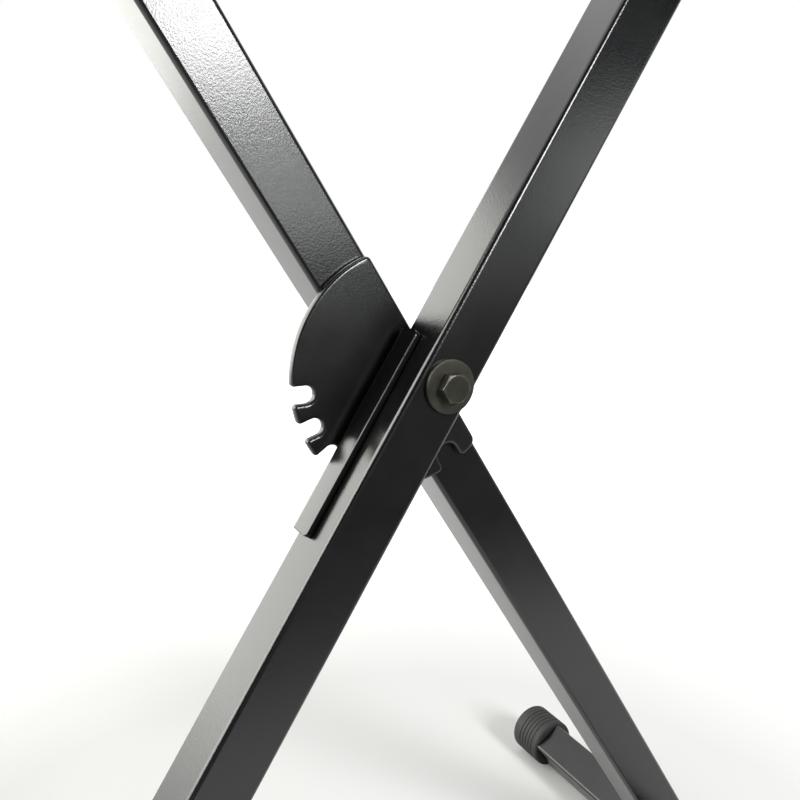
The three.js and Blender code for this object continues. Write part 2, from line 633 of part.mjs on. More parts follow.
/** The extension spring: a hook over the bush, its coils, and a hook through the bar. */
function lockSpring() {
  const barTop = -pinPulled + BAR_ABOVE_PIN;
  const lowHook = barTop - HOOK_HOLE_DROP + HOOK_RADIUS;
  const coilLow = lowHook + HOOK_RADIUS;
  const coilHigh = -SPRING_TOP;
  const bushHook = bushRadius + SPRING_WIRE + FIT_GAP;
  const point = (across, depth, along) => new THREE.Vector3(across, barMidDepth + depth, along);
  const upper = [200, 175, 150, 125, 100, 75, 50, 25, 0, -25, -50].map((angle) => point(
    bushHook * Math.cos(rad(angle)), 0, bushHook * Math.sin(rad(angle))));
  const steps = SPRING_COILS * STEPS_PER_COIL;
  const coils = Array.from({ length: steps + 1 }, (_, i) => {
    const turn = (2 * Math.PI * i) / STEPS_PER_COIL;
    return point(SPRING_RADIUS * Math.cos(turn), SPRING_RADIUS * Math.sin(turn),
      coilHigh + ((coilLow - coilHigh) * i) / steps);
  });
  const lower = [60, 10, -40, -90, -140, -190].map((angle) => point(
    0, HOOK_RADIUS * Math.cos(rad(angle)), lowHook + HOOK_RADIUS * Math.sin(rad(angle))));
  const path = new THREE.CatmullRomCurve3([...upper, ...coils, ...lower]);
  const wire = new THREE.Shape(Array.from({ length: WIRE_SIDES }, (_, i) => {
    const angle = (2 * Math.PI * i) / WIRE_SIDES;
    return new THREE.Vector2((SPRING_WIRE / 2) * Math.cos(angle), (SPRING_WIRE / 2) * Math.sin(angle));
  }));
  return new THREE.ExtrudeGeometry(wire, {
    steps: path.points.length,
    extrudePath: path,
  });
}

/** The finger pull on the leg's right side, with the stem that reaches in to the bar. */
function releasePull() {
  const face = legSideRight + FIT_GAP;
  const base = face + GRIP_BASE;
  const lip = face + GRIP_LIP;
  const top = -pinPulled - GRIP_TOP;
  const bottom = top - GRIP_LENGTH;
  const lipLow = top - GRIP_LIP_WIDTH;
  const outline = [
    new THREE.Vector2(face, bottom),
    ...arc(base - GRIP_EDGE, bottom + GRIP_EDGE, GRIP_EDGE, 270, 360),
    ...arc(base + GRIP_SCOOP, lipLow - GRIP_SCOOP, GRIP_SCOOP, 180, 120),
    ...arc(lip - GRIP_EDGE, lipLow + GRIP_EDGE, GRIP_EDGE, 300, 360),
    ...arc(lip - GRIP_LIP_WIDTH / 2, top - GRIP_LIP_WIDTH / 2, GRIP_LIP_WIDTH / 2, 0, 90),
    new THREE.Vector2(face, top),
  ];
  const depth = barMidDepth;
  const stemLeft = BAR_WIDTH / 2 + SEAT_GAP;
  const stemRight = face + OVERRUN;
  const stem = throughDepth(roundedBox(
    (stemLeft + stemRight) / 2, stemTop - STEM_LENGTH / 2, stemRight - stemLeft, STEM_LENGTH, FIT_GAP,
  ), BAR_DEPTH + FIT_GAP, BAR_DEPTH + BAR_THICKNESS - FIT_GAP);
  const holes = screwHeights.map((height) => {
    const hole = turned([
      [0, 0], [SCREW_RADIUS + FIT_GAP, 0], [SCREW_RADIUS + FIT_GAP, SCREW_LENGTH],
      [SCREW_HEAD_RADIUS + FIT_GAP, SCREW_LENGTH], [SCREW_HEAD_RADIUS + FIT_GAP, 2 * SCREW_LENGTH],
      [0, 2 * SCREW_LENGTH],
    ], BORE_SEGMENTS / 2);
    hole.rotateZ(-Math.PI / 2);
    hole.translate(base - SCREW_HEAD_HEIGHT - FIT_GAP - SCREW_LENGTH, depth, height);
    return hole;
  });
  const body = throughDepth(outline, depth - GRIP_WIDTH / 2, depth + GRIP_WIDTH / 2, GRIP_EDGE / 2);
  return cut(join(body, stem), ...holes);
}

/** One screw through the pull into the bar, its head sunk in the pull's base. */
function pullScrew(height) {
  const seat = legSideRight + FIT_GAP + GRIP_BASE - SCREW_HEAD_HEIGHT;
  const geometry = turned([
    [0, SCREW_TIP_GAP - SCREW_LENGTH], [SCREW_RADIUS, SCREW_TIP_GAP - SCREW_LENGTH], [SCREW_RADIUS, 0],
    [SCREW_HEAD_RADIUS, 0], [SCREW_HEAD_RADIUS, SCREW_HEAD_HEIGHT / 2],
    [SCREW_HEAD_RADIUS - SCREW_HEAD_EDGE, SCREW_HEAD_HEIGHT], [0, SCREW_HEAD_HEIGHT],
  ], BORE_SEGMENTS / 2);
  geometry.rotateZ(-Math.PI / 2);
  geometry.translate(seat, barMidDepth, height);
  return geometry;
}

/** The slot in the leg's right side that the pull's stem slides in, as a cutting tool. */
function stemSlot() {
  const high = stemTop + lockTravel + FIT_GAP;
  const low = stemTop - STEM_LENGTH - FIT_GAP;
  const outline = roundedBox(barMidDepth, (high + low) / 2, BAR_THICKNESS + FIT_GAP,
    high - low, STEM_SLOT_CORNER);
  return acrossLeg(outline, legSideRight - TUBE_WALL - OVERRUN, legSideRight + OVERRUN);
}

// ---------------------------------------------------------------- the two legs

/** A leg's group: the bolt is its origin, z runs up the leg and x across it. */
function legGroup(turn) {
  const group = new THREE.Group();
  group.rotation.y = turn;
  group.position.set(BOLT_OFFSET, -midDepth, pivotHeight);
  return group;
}

function frontLeg() {
  const group = legGroup(lean);
  const tube = cut(legTube(frontNear, -legCentreAlong),
    pinSlot(frontFar - TUBE_WALL - OVERRUN, frontFar + OVERRUN), stemSlot());
  const bolt = pivotBolt();
  const nut = lockNut();
  bolt.rotateY(-lean);
  nut.rotateY(-lean);
  group.add(
    piece("front_leg", tube, powderCoat),
    ...legPieces("front_leg", frontNear, -legCentreAlong, lean, frontFar, 1),
    piece("saddle_bracket", saddle(), powderCoat),
    piece("pivot_bolt", bolt, blackSteel),
    piece("front_washer", ring(boreRadius, WASHER_RADIUS, -SEAT_GAP - WASHER_THICKNESS, -SEAT_GAP,
      WASHER_EDGE), blackSteel),
    piece("pivot_spacer", ring(boreRadius, SPACER_RADIUS, webFar + SEAT_GAP, plateNear - SEAT_GAP,
      WASHER_EDGE), blackPlastic),
    piece("rear_washer", ring(boreRadius, WASHER_RADIUS, rearFar + SEAT_GAP,
      rearFar + SEAT_GAP + WASHER_THICKNESS, WASHER_EDGE), blackSteel),
    piece("pivot_lock_nut", nut, blackSteel),
    piece("lock_guide_upper", lockGuide(UPPER_GUIDE), palePlastic),
    piece("lock_guide_lower", lockGuide(LOWER_GUIDE), palePlastic),
    piece("lock_spring", lockSpring(), brightSteel),
    piece("lock_bar", lockBar(), brightSteel),
    piece("lock_pin", lockPin(), brightSteel),
    piece("release_pull", releasePull(), blackPlastic),
    ...screwHeights.map((height, i) => piece(`pull_screw_${i + 1}`, pullScrew(height), blackSteel)),
  );
  return group;
}

function rearLeg() {
  const group = legGroup(-lean);
  group.add(
    piece("rear_leg", legTube(rearNear, legCentreAlong), powderCoat),
    ...legPieces("rear_leg", rearNear, legCentreAlong, -lean, rearNear, -1),
    piece("notch_plate", notchPlate(), powderCoat),
  );
  return group;
}

const stand = new THREE.Group();
stand.add(frontLeg(), rearLeg());

export default stand;
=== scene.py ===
"""Dresses the folding keyboard stand: coated tubes, plate, lock, bolt and rubber, in a white studio."""

import math
import random

import bmesh
import bpy
from mathutils import Matrix, Vector


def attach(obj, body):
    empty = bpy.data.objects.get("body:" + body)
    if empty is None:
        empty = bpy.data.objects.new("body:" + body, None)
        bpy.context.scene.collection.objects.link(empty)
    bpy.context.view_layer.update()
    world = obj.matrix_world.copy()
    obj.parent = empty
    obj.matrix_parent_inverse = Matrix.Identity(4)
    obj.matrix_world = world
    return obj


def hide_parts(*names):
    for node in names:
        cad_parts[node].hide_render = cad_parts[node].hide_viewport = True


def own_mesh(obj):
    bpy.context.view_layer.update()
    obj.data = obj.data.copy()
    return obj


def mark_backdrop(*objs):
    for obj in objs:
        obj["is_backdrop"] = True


bl_info = {
    "name": "Folding Keyboard Stand Dresser",
    "version": (1, 0, 0),
    "blender": (4, 5, 0),
    "location": "View3D > Sidebar > Keyboard Stand",
    "description": "Builds the coated, rubber and steel pieces of a folding keyboard stand",
    "category": "Object",
}

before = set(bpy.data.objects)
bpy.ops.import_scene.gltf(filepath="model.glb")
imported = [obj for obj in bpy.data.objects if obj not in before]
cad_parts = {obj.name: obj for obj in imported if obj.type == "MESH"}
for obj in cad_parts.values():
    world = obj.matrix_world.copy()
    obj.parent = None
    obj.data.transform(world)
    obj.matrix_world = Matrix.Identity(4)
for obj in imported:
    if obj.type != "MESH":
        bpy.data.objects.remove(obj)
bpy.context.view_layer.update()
MM = 0.001

# ------------------------------------------------------------------ fixed places and sizes

LEG_REACH_MM = 500  # from the crossing to the middle of a cross bar
FOOT_CAP_MM = 22  # radius of a foot cap
LEAN = math.radians(32.85)  # of each leg from the vertical
BOLT_OFFSET = 1.65 * MM  # from the legs' crossing, across
BOLT_HEIGHT = (LEG_REACH_MM * math.cos(LEAN) + FOOT_CAP_MM) * MM
LEG_GAP = 11.5 * MM  # between the legs
FIT_GAP = 0.3 * MM  # between pieces that slide or slip over each other
SEAT_GAP = 0.15 * MM  # between pieces that sit on each other
BORE_RADIUS = 4.3 * MM  # clearance holes for the pivot bolt
LOCK_DEPTH = 23 * MM  # of the lock bar's middle inside the front leg
PIN_RADIUS = 3.5 * MM
PIN_SLOT_RADIUS = 3.8 * MM
PULL_CLEARANCE = 0.8 * MM  # between the pulled pin and the plate's rim
GUIDE_DROPS = {"upper": 83 * MM, "lower": 180 * MM}  # of the lock bar's guides, below the bolt
SCREW_DROPS = (135 * MM, 151 * MM)  # of the pull's screws, below the bolt

# The notched plate
NOTCH_PITCH = 720 / 42
NOTCH_DEPTH = 6.9 * MM  # from the rim to a notch's centre
NOTCH_RADIUS = 4.3 * MM
NOTCH_TILT = -5
TOOTH_ROUND = 1.8 * MM
LOBE_STEP = 5 * MM  # from the rim down to the lobe
STORAGE_DEPTH = 6.4 * MM
STORAGE_RADIUS = 6.15 * MM
STORAGE_TILT = 4.8
LOBE_ROUND = 2.8 * MM
TOP_CORNER = 3 * MM
LOW_CORNER = 5 * MM
LOCK_ANGLE = 270 - 2 * math.degrees(LEAN)
FOLDED_SPREAD_MM = 25  # half the distance between the folded legs' ends
FOLDED = 2 * math.degrees(LEAN) - 2 * math.degrees(math.asin(FOLDED_SPREAD_MM / LEG_REACH_MM))

# The saddle bracket
SADDLE_LOW = -91.5 * MM
SADDLE_HIGH = 16.5 * MM
SADDLE_FLANGE = 15 * MM  # how far the flanges cover the tube's sides
SADDLE_CORNER = 3 * MM

# The camera of the photograph
CAMERA_TURN = (29.11, -12.12, 0.21)  # yaw, pitch and roll in degrees
CAMERA_PLACE = (-0.1878, -0.2943, 0.0685)  # from the legs' front face at the crossing, at the bolt's height
FOCAL_PIXELS = 777
FRAME_PIXELS = 800
SENSOR_WIDTH = 36.0


# ------------------------------------------------------------------ sizes and colours

def length(label, default_mm, words):
    """A size in metres, with its default in millimetres."""
    return bpy.props.FloatProperty(name=label, description=words, default=default_mm * MM,
                                   min=0.01 * MM, subtype="DISTANCE", unit="LENGTH", precision=5)


def colour(label, default, words):
    """A linear colour."""
    return bpy.props.FloatVectorProperty(name=label, description=words, default=default, size=3,
                                         min=0.0, max=1.0, subtype="COLOR")


def share(label, default, words):
    """A number from 0 to 1."""
    return bpy.props.FloatProperty(name=label, description=words, default=default, min=0.0, max=1.0,
                                   subtype="FACTOR")


class StandFrameSizes(bpy.types.PropertyGroup):
    """Sizes of the tubes, the cross bars and their welds."""

    tube_side: length("Tube side", 30, "Outer side of the square tube")
    tube_wall: length("Tube wall", 1.5, "Wall of the square tube")
    tube_corner: length("Tube corner", 2.6, "Outer corner radius of the square tube")
    leg_reach: length("Leg reach", LEG_REACH_MM, "From the crossing to the middle of a cross bar")
    foot_bar: length("Foot bar", 420, "Length of a foot bar")
    arm_bar: length("Arm bar", 340, "Length of an arm bar")
    gusset_leg: length("Gusset leg", 42, "Length of a gusset along the tube and the bar")
    gusset_thickness: length("Gusset thickness", 3, "Thickness of a gusset")
    gusset_tip: length("Gusset tip", 5, "Blunt end of a gusset")
    weld: length("Weld", 2.2, "Throat of a weld bead")


class StandLockSizes(bpy.types.PropertyGroup):
    """Sizes of the notched plate, the saddle, the pivot and the lock."""

    plate_radius: length("Plate radius", 62.5, "From the bolt to the rim of the notched plate")
    plate_thickness: length("Plate thickness", 5, "Thickness of the notched plate")
    plate_edge: length("Plate edge", 1.7, "Rounding of the plate's edges")
    saddle_thickness: length("Saddle thickness", 3, "Sheet of the saddle bracket")
    saddle_edge: length("Saddle edge", 0.7, "Rounding of the saddle's edges")
    washer_radius: length("Washer radius", 12.7, "Outer radius of the pivot washers")
    washer_thickness: length("Washer thickness", 2, "Thickness of the pivot washers")
    bolt_flats: length("Bolt flats", 13, "Across the flats of the bolt head and the nut")
    bolt_radius: length("Bolt radius", 4, "Radius of the bolt's shank")


class StandRubberSizes(bpy.types.PropertyGroup):
    """Sizes of the caps and the sleeves."""

    foot_cap: length("Foot cap radius", FOOT_CAP_MM, "Radius of a foot cap")
    arm_cap: length("Arm cap radius", 24, "Radius of an arm cap's rim")
    sleeve: length("Sleeve radius", 21, "Radius of an arm sleeve")
    sleeve_length: length("Sleeve length", 80, "Length of an arm sleeve")
    groove: length("Groove", 0.7, "Depth of the grooves round caps and sleeves")


class StandFinishes(bpy.types.PropertyGroup):
    """Colours and gloss of the finishes."""

    coat: colour("Powder coat", (0.0034, 0.0036, 0.004), "Black powder coat")
    coat_gloss: share("Powder coat roughness", 0.19, "Roughness of the powder coat")
    fastener: colour("Black steel", (0.037, 0.0365, 0.029), "Black-oxide bolt, nut and washers")
    worn: colour("Worn steel", (0.125, 0.112, 0.094), "Bare steel on worn edges")
    zinc: colour("Zinc steel", (0.56, 0.57, 0.58), "Zinc-plated lock parts")
    rubber: colour("Rubber", (0.011, 0.011, 0.011), "Caps and sleeves")
    plastic: colour("Black nylon", (0.018, 0.018, 0.019), "Pull and spacer")
    pale: colour("Natural nylon", (0.66, 0.63, 0.54), "Guides and nut insert")


# ------------------------------------------------------------------ nodes

def put(tree, kind, links=(), **settings):
    """A node with its settings, and links as {input: socket or value}."""
    node = tree.nodes.new(kind)
    for key, value in settings.items():
        setattr(node, key, value)
    for key, value in dict(links).items():
        if isinstance(value, bpy.types.NodeSocket):
            tree.links.new(value, node.inputs[key])
        else:
            node.inputs[key].default_value = value
    return node


def maths(tree, operation, *values):
    """The result of a math node."""
    return put(tree, "ShaderNodeMath", dict(enumerate(values)), operation=operation).outputs[0]


def ramp(tree, value, low, high, start, end):
    """A value's place between low and high, as a number between start and end."""
    return put(tree, "ShaderNodeMapRange", {
        "Value": value, "From Min": low, "From Max": high, "To Min": start, "To Max": end,
    }).outputs["Result"]


def mixed(tree, amount, first, second):
    """The first colour with an amount of the second over it."""
    return put(tree, "ShaderNodeMix", {0: amount, 6: first, 7: second}, data_type="RGBA").outputs[2]


def part_of(tree, vector, axis):
    """The X, Y or Z of a vector."""
    return put(tree, "ShaderNodeSeparateXYZ", {"Vector": vector}).outputs[axis]


def noise(tree, scale, detail, roughness):
    """Noise that is fixed to the object."""
    return put(tree, "ShaderNodeTexNoise", {
        "Vector": put(tree, "ShaderNodeTexCoord").outputs["Object"], "Scale": scale, "Detail": detail,
        "Roughness": roughness}).outputs["Fac"]


def pitched_noise(tree, pitch, detail, roughness):
    """Noise with a pitch in metres."""
    return noise(tree, maths(tree, "DIVIDE", 1.0, pitch), detail, roughness)


# ------------------------------------------------------------------ effects shared by the finishes

def effect(name, inputs, outputs):
    """An empty shader group with numbers going in, as {name: default}, and numbers coming out."""
    tree = bpy.data.node_groups.new(name, "ShaderNodeTree")
    for label, default in inputs.items():
        entry = tree.interface.new_socket(label, in_out="INPUT", socket_type="NodeSocketFloat")
        entry.default_value = default
    for label in outputs:
        tree.interface.new_socket(label, in_out="OUTPUT", socket_type="NodeSocketFloat")
    return tree, tree.nodes.new("NodeGroupInput").outputs, tree.nodes.new("NodeGroupOutput").inputs


def grain_effect():
    """Orange peel of a powder coat, or the grain of moulded rubber: a height and a slow colour drift."""
    tree, into, out = effect("coat_grain", {"Pitch": 0.0012}, ["Height", "Drift"])
    tree.links.new(pitched_noise(tree, into["Pitch"], 3.0, 0.55), out["Height"])
    tree.links.new(ramp(tree, noise(tree, 38.0, 3.0, 0.6), 0.3, 0.7, 0.0, 1.0), out["Drift"])
    return tree


def dust_effect():
    """Fine specks and a thin settled film on faces that look up: a mask."""
    tree, into, out = effect("settled_dust", {"Pitch": 0.0011, "Amount": 0.2}, ["Mask"])
    facing = part_of(tree, put(tree, "ShaderNodeNewGeometry").outputs["Normal"], "Z")
    up = ramp(tree, facing, 0.1, 1.0, 0.15, 1.0)
    specks = ramp(tree, pitched_noise(tree, into["Pitch"], 5.0, 0.7), 0.5, 0.8, 0.0, 1.0)
    mask = maths(tree, "MULTIPLY", maths(tree, "MULTIPLY", up, specks), into["Amount"])
    tree.links.new(mask, out["Mask"])
    return tree


def wear_effect():
    """Wear along the edges marked on the mesh, broken up by noise: a mask."""
    tree, into, out = effect("edge_wear", {"Pitch": 0.0012, "Amount": 0.6}, ["Mask"])
    edge = put(tree, "ShaderNodeAttribute", attribute_name="edge").outputs["Fac"]
    broken = maths(tree, "MULTIPLY", edge, pitched_noise(tree, into["Pitch"], 4.0, 0.65))
    tree.links.new(ramp(tree, broken, 0.18, 0.5, 0.0, into["Amount"]), out["Mask"])
    return tree


DUST_COLOUR = (0.3, 0.3, 0.28, 1.0)
EFFECTS = {}


def effect_node(tree, name, **values):
    """The outputs of one of the shared effects in a material, with its own values."""
    makers = {"grain": grain_effect, "dust": dust_effect, "wear": wear_effect}
    if name not in EFFECTS:
        EFFECTS[name] = makers[name]()
    node = tree.nodes.new("ShaderNodeGroup")
    node.node_tree = EFFECTS[name]
    for key, value in values.items():
        node.inputs[key.capitalize()].default_value = value
    return node.outputs


def finish(name, base, roughness, grain, bump=0.00003, metallic=0.0, rough_drift=0.08,
           colour_drift=0.3, dust=0.0, wear=None, ior=1.5, specular=0.5):
    """A material: base colour with a slow drift, dust and edge wear, and a grain in the bump."""
    material = bpy.data.materials.new(name)
    material.use_nodes = True
    material.diffuse_color = (*base, 1.0)
    tree = material.node_tree
    shader = tree.nodes["Principled BSDF"].inputs
    shader["Metallic"].default_value = metallic
    shader["IOR"].default_value = ior
    shader["Specular IOR Level"].default_value = specular
    grains = effect_node(tree, "grain", pitch=grain)
    lighter = [min(1.0, c * (1.0 + colour_drift) + 0.001) for c in base]
    paint = mixed(tree, grains["Drift"], (*base, 1.0), (*lighter, 1.0))
    if wear:
        paint = mixed(tree, effect_node(tree, "wear")["Mask"], paint, (*wear, 1.0))
    if dust:
        paint = mixed(tree, effect_node(tree, "dust", amount=dust)["Mask"], paint, DUST_COLOUR)
    gloss = ramp(tree, grains["Drift"], 0.0, 1.0, roughness - rough_drift / 2, roughness + rough_drift / 2)
    bumps = put(tree, "ShaderNodeBump", {"Height": grains["Height"], "Strength": 1.0, "Distance": bump})
    tree.links.new(paint, shader["Base Color"])
    tree.links.new(gloss, shader["Roughness"])
    tree.links.new(bumps.outputs["Normal"], shader["Normal"])
    return material


MATERIALS = {}


def material_for(name):
    """The finish with that name, made when it is first used."""
    if name in MATERIALS:
        return MATERIALS[name]
    looks = bpy.context.scene.stand_finishes
    makers = {
        "powder_coat": lambda: finish("powder_coat", looks.coat, looks.coat_gloss, grain=0.0009,
                                      bump=0.00006, rough_drift=0.04, dust=0.006, ior=1.6),
        "plate_coat": lambda: finish("plate_coat", looks.coat, looks.coat_gloss + 0.05, grain=0.0009,
                                     bump=0.00005, rough_drift=0.06, dust=0.008, ior=1.6),
        "black_fastener": lambda: finish("black_fastener", looks.fastener, 0.42, metallic=0.5,
                                         grain=0.0007, bump=0.00003, rough_drift=0.2,
                                         colour_drift=0.9, wear=looks.worn, specular=0.2),
        "zinc_steel": lambda: finish("zinc_steel", looks.zinc, 0.3, metallic=1.0, grain=0.0006,
                                     bump=0.00001, rough_drift=0.16, colour_drift=0.15),
        "rubber": lambda: finish("rubber", looks.rubber, 0.72, grain=0.0008, bump=0.00006,
                                 dust=0.07, colour_drift=0.4),
        "rubber_sleeve": lambda: finish("rubber_sleeve", looks.rubber, 0.8, grain=0.0006,
                                        bump=0.0001, dust=0.09, colour_drift=0.5),
        "black_plastic": lambda: finish("black_plastic", looks.plastic, 0.5, grain=0.0005,
                                        bump=0.00003, colour_drift=0.4),
        "pale_plastic": lambda: finish("pale_plastic", looks.pale, 0.45, grain=0.0009,
                                       bump=0.00001, colour_drift=0.06),
    }
    MATERIALS[name] = makers[name]()
    return MATERIALS[name]


# ------------------------------------------------------------------ outlines

def arc(x, y, radius, start, end, steps=None):
    """Points of an arc, ends included, with angles in degrees."""
    steps = steps or max(3, math.ceil(abs(end - start) / 7.5))
    turns = [math.radians(start + (end - start) * i / steps) for i in range(steps + 1)]
    return [(x + radius * math.cos(t), y + radius * math.sin(t)) for t in turns]


def rounded_box(x, y, width, height, corner, steps=8):
    """A rectangle with round corners, anticlockwise."""
    dx, dy = width / 2 - corner, height / 2 - corner
    quarters = [(1, 1, 0), (-1, 1, 90), (-1, -1, 180), (1, -1, 270)]
    return [p for sx, sy, a in quarters
            for p in arc(x + sx * dx, y + sy * dy, corner, a, a + 90, steps)]


def leg_matrix(lean):
    """From a leg's own frame (across, depth, along, with the bolt at 0) to the row's frame."""
    depth = -(frame_sizes().tube_side * 2 + LEG_GAP) / 2
    return Matrix.Translation((BOLT_OFFSET, depth, BOLT_HEIGHT)) @ Matrix.Rotation(lean, 4, "Y")


def frame_sizes():
    """The sizes of the tubes and the cross bars."""
    return bpy.context.scene.stand_frame_sizes


def lock_sizes():
    """The sizes of the plate, the saddle, the pivot and the lock."""
    return bpy.context.scene.stand_lock_sizes


def rubber_sizes():
    """The sizes of the caps and the sleeves."""
    return bpy.context.scene.stand_rubber_sizes


def along_leg(a, b, station):
    """A section across the leg, carried along it."""
    return (a, b, station)


def through_leg(a, b, station):
    """An outline seen from the front, carried through the leg's depth."""
    return (a, station, b)


def across_leg(a, b, station):
    """An outline seen from the side, carried across the leg."""
    return (station, a, b)


# ------------------------------------------------------------------ meshes

def dressed(name, mesh, body, finish_name, nodes, matrix, smooth_angle=35, slot=None):
    """An object from a mesh: placed, shaded, finished, riding on a body, in place of its nodes.

    Its slot argument is not used.
    """
    if not mesh.polygons:
        raise RuntimeError(f"{name} has no faces")
    piece = bpy.data.objects.new(name, mesh)
    bpy.context.scene.collection.objects.link(piece)
    mesh.transform(matrix)
    mesh.materials.append(material_for(finish_name))
    shade(mesh, smooth_angle)
    even_normals(piece)
    slot = slot or finish_name
    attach(piece, body)
    if nodes:
        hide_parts(*nodes)
    return piece


def even_normals(piece):
    """Corner normals weighted by face area, so that flats stay flat beside their round edges."""
    step = piece.modifiers.new("even", "WEIGHTED_NORMAL")
    step.mode = "FACE_AREA"
    step.keep_sharp = True
    bpy.context.view_layer.update()
    rough = piece.data
    smooth = bpy.data.meshes.new_from_object(piece.evaluated_get(bpy.context.evaluated_depsgraph_get()))
    piece.modifiers.clear()
    piece.data = smooth
    smooth.name = rough.name
    bpy.data.meshes.remove(rough)


def shade(mesh, angle):
    """Smooth shading, with edges sharper than the angle left sharp."""
    bm = bmesh.new()
    bm.from_mesh(mesh)
    limit = math.radians(angle)
    for face in bm.faces:
        face.smooth = True
    for edge in bm.edges:
        edge.smooth = not (edge.is_manifold and edge.calc_face_angle(0.0) > limit)
    bm.to_mesh(mesh)
    bm.free()


def mesh_from(bm, name):
    """The mesh of a bmesh, with its faces turned outwards."""
    bmesh.ops.recalc_face_normals(bm, faces=bm.faces)
    mesh = bpy.data.meshes.new(name)
    bm.to_mesh(mesh)
    bm.free()
    return mesh


def loops_to_mesh(name, loops, closed_ends=False, ring=False):
    """A skin over loops of points that all have the same length."""
    bm = bmesh.new()
    rows = [[bm.verts.new(p) for p in loop] for loop in loops]
    pairs = list(zip(rows, rows[1:])) + ([(rows[-1], rows[0])] if ring else [])
    for a, b in pairs:
        for i in range(len(a)):
            j = (i + 1) % len(a)
            bm.faces.new((a[i], a[j], b[j], b[i]))
    if closed_ends:
        bm.faces.new(rows[0])
        bm.faces.new(rows[-1])
    return mesh_from(bm, name)


def tube_mesh(name, outside, inside, low, high, point):
    """A hollow tube between two stations: outside and inside outlines, point(a, b, station) in 3D."""
    soft = 0.25 * MM

    def shrunk(outline, by):
        cx = sum(p[0] for p in outline) / len(outline)
        cy = sum(p[1] for p in outline) / len(outline)
        reach = max(math.hypot(p[0] - cx, p[1] - cy) for p in outline)
        k = 1 - by / reach
        return [(cx + (p[0] - cx) * k, cy + (p[1] - cy) * k) for p in outline]

    loops = [
        [point(a, b, low + soft) for a, b in outside], [point(a, b, high - soft) for a, b in outside],
        [point(a, b, high) for a, b in shrunk(outside, soft)],
        [point(a, b, high) for a, b in inside], [point(a, b, low) for a, b in inside],
        [point(a, b, low) for a, b in shrunk(outside, soft)],
    ]
    return loops_to_mesh(name, loops, ring=True)


def lathe_mesh(name, profile, segments=96):
    """A profile of (radius, depth) turned about the depth axis. It closes on itself or on the axis."""
    bm = bmesh.new()
    rows = []
    for radius, depth in profile:
        if radius < 1e-7:
            rows.append([bm.verts.new((0, depth, 0))])
        else:
            rows.append([bm.verts.new((radius * math.cos(t), depth, radius * math.sin(t)))
                         for t in (2 * math.pi * i / segments for i in range(segments))])
    pairs = list(zip(rows, rows[1:]))
    if len(rows[0]) > 1 and len(rows[-1]) > 1:
        pairs.append((rows[-1], rows[0]))
    for a, b in pairs:
        for i in range(segments):
            j = (i + 1) % segments
            corners = [a[i % len(a)], a[j % len(a)], b[j % len(b)], b[i % len(b)]]
            kept = [v for k, v in enumerate(corners) if v not in corners[:k]]
            if len(kept) > 2:
                bm.faces.new(kept)
    return mesh_from(bm, name)


def slab_mesh(name, outline, near, far, edge, point, segments):
    """A flat slab from an outline, with its edges rounded."""
    bm = bmesh.new()
    near_ring = [bm.verts.new(point(a, b, near)) for a, b in outline]
    for i, vert in enumerate(near_ring):
        bm.edges.new((vert, near_ring[(i + 1) % len(near_ring)]))
    filled = bmesh.ops.triangle_fill(bm, use_beauty=True, use_dissolve=False, edges=list(bm.edges))
    faces = [f for f in filled["geom"] if isinstance(f, bmesh.types.BMFace)]
    grown = bmesh.ops.extrude_face_region(bm, geom=faces)
    shift = Vector(point(0, 0, far)) - Vector(point(0, 0, near))
    bmesh.ops.translate(bm, vec=shift, verts=[g for g in grown["geom"] if isinstance(g, bmesh.types.BMVert)])
    bmesh.ops.recalc_face_normals(bm, faces=bm.faces)
    rims = [e for e in bm.edges if e.is_manifold and e.calc_face_angle(0.0) > math.radians(60)
            and abs((e.verts[0].co - e.verts[1].co).dot(shift)) < 1e-12]
    bmesh.ops.bevel(bm, geom=rims, offset=edge, offset_type="OFFSET", segments=segments,
                    profile=0.5, affect="EDGES", clamp_overlap=True)
    return mesh_from(bm, name)


def joined(name, meshes):
    """Several meshes as one."""
    bm = bmesh.new()
    for mesh in meshes:
        bm.from_mesh(mesh)
        bpy.data.meshes.remove(mesh)
    mesh = bpy.data.meshes.new(name)
    bm.to_mesh(mesh)
    bm.free()
    return mesh


def mark_edges(mesh):
    """The mesh's edge attribute: 1 at the ends of sharp or rounded edges and 0 elsewhere."""
    bm = bmesh.new()
    bm.from_mesh(mesh)
    sharp = {v.index for e in bm.edges if e.is_manifold and e.calc_face_angle(0.0) > math.radians(18)
             for v in e.verts}
    bm.free()
    values = [1.0 if v.index in sharp else 0.0 for v in mesh.vertices]
    attribute = mesh.attributes.new("edge", "FLOAT", "POINT")
    attribute.data.foreach_set("value", values)


# ------------------------------------------------------------------ stand pieces: common

class LegPlaces:
    """Where one leg's pieces stand, in the leg's own frame."""

    def __init__(self, name):
        sizes = frame_sizes()
        self.front = name == "front"
        self.name = f"{name}_leg"
        self.body = f"{name}_frame"
        self.matrix = leg_matrix(LEAN if self.front else -LEAN)
        self.near = 0.0 if self.front else sizes.tube_side + LEG_GAP
        self.middle = self.near + sizes.tube_side / 2
        self.across = -BOLT_OFFSET * math.cos(LEAN)
        self.crossing = (-1 if self.front else 1) * BOLT_OFFSET * math.sin(LEAN)
        self.mid_depth = (2 * sizes.tube_side + LEG_GAP) / 2
        self.foot = self.crossing - sizes.leg_reach
        self.arm = self.crossing + sizes.leg_reach
        self.gusset_face = sizes.tube_side if self.front else self.near
        self.gusset_way = 1 if self.front else -1


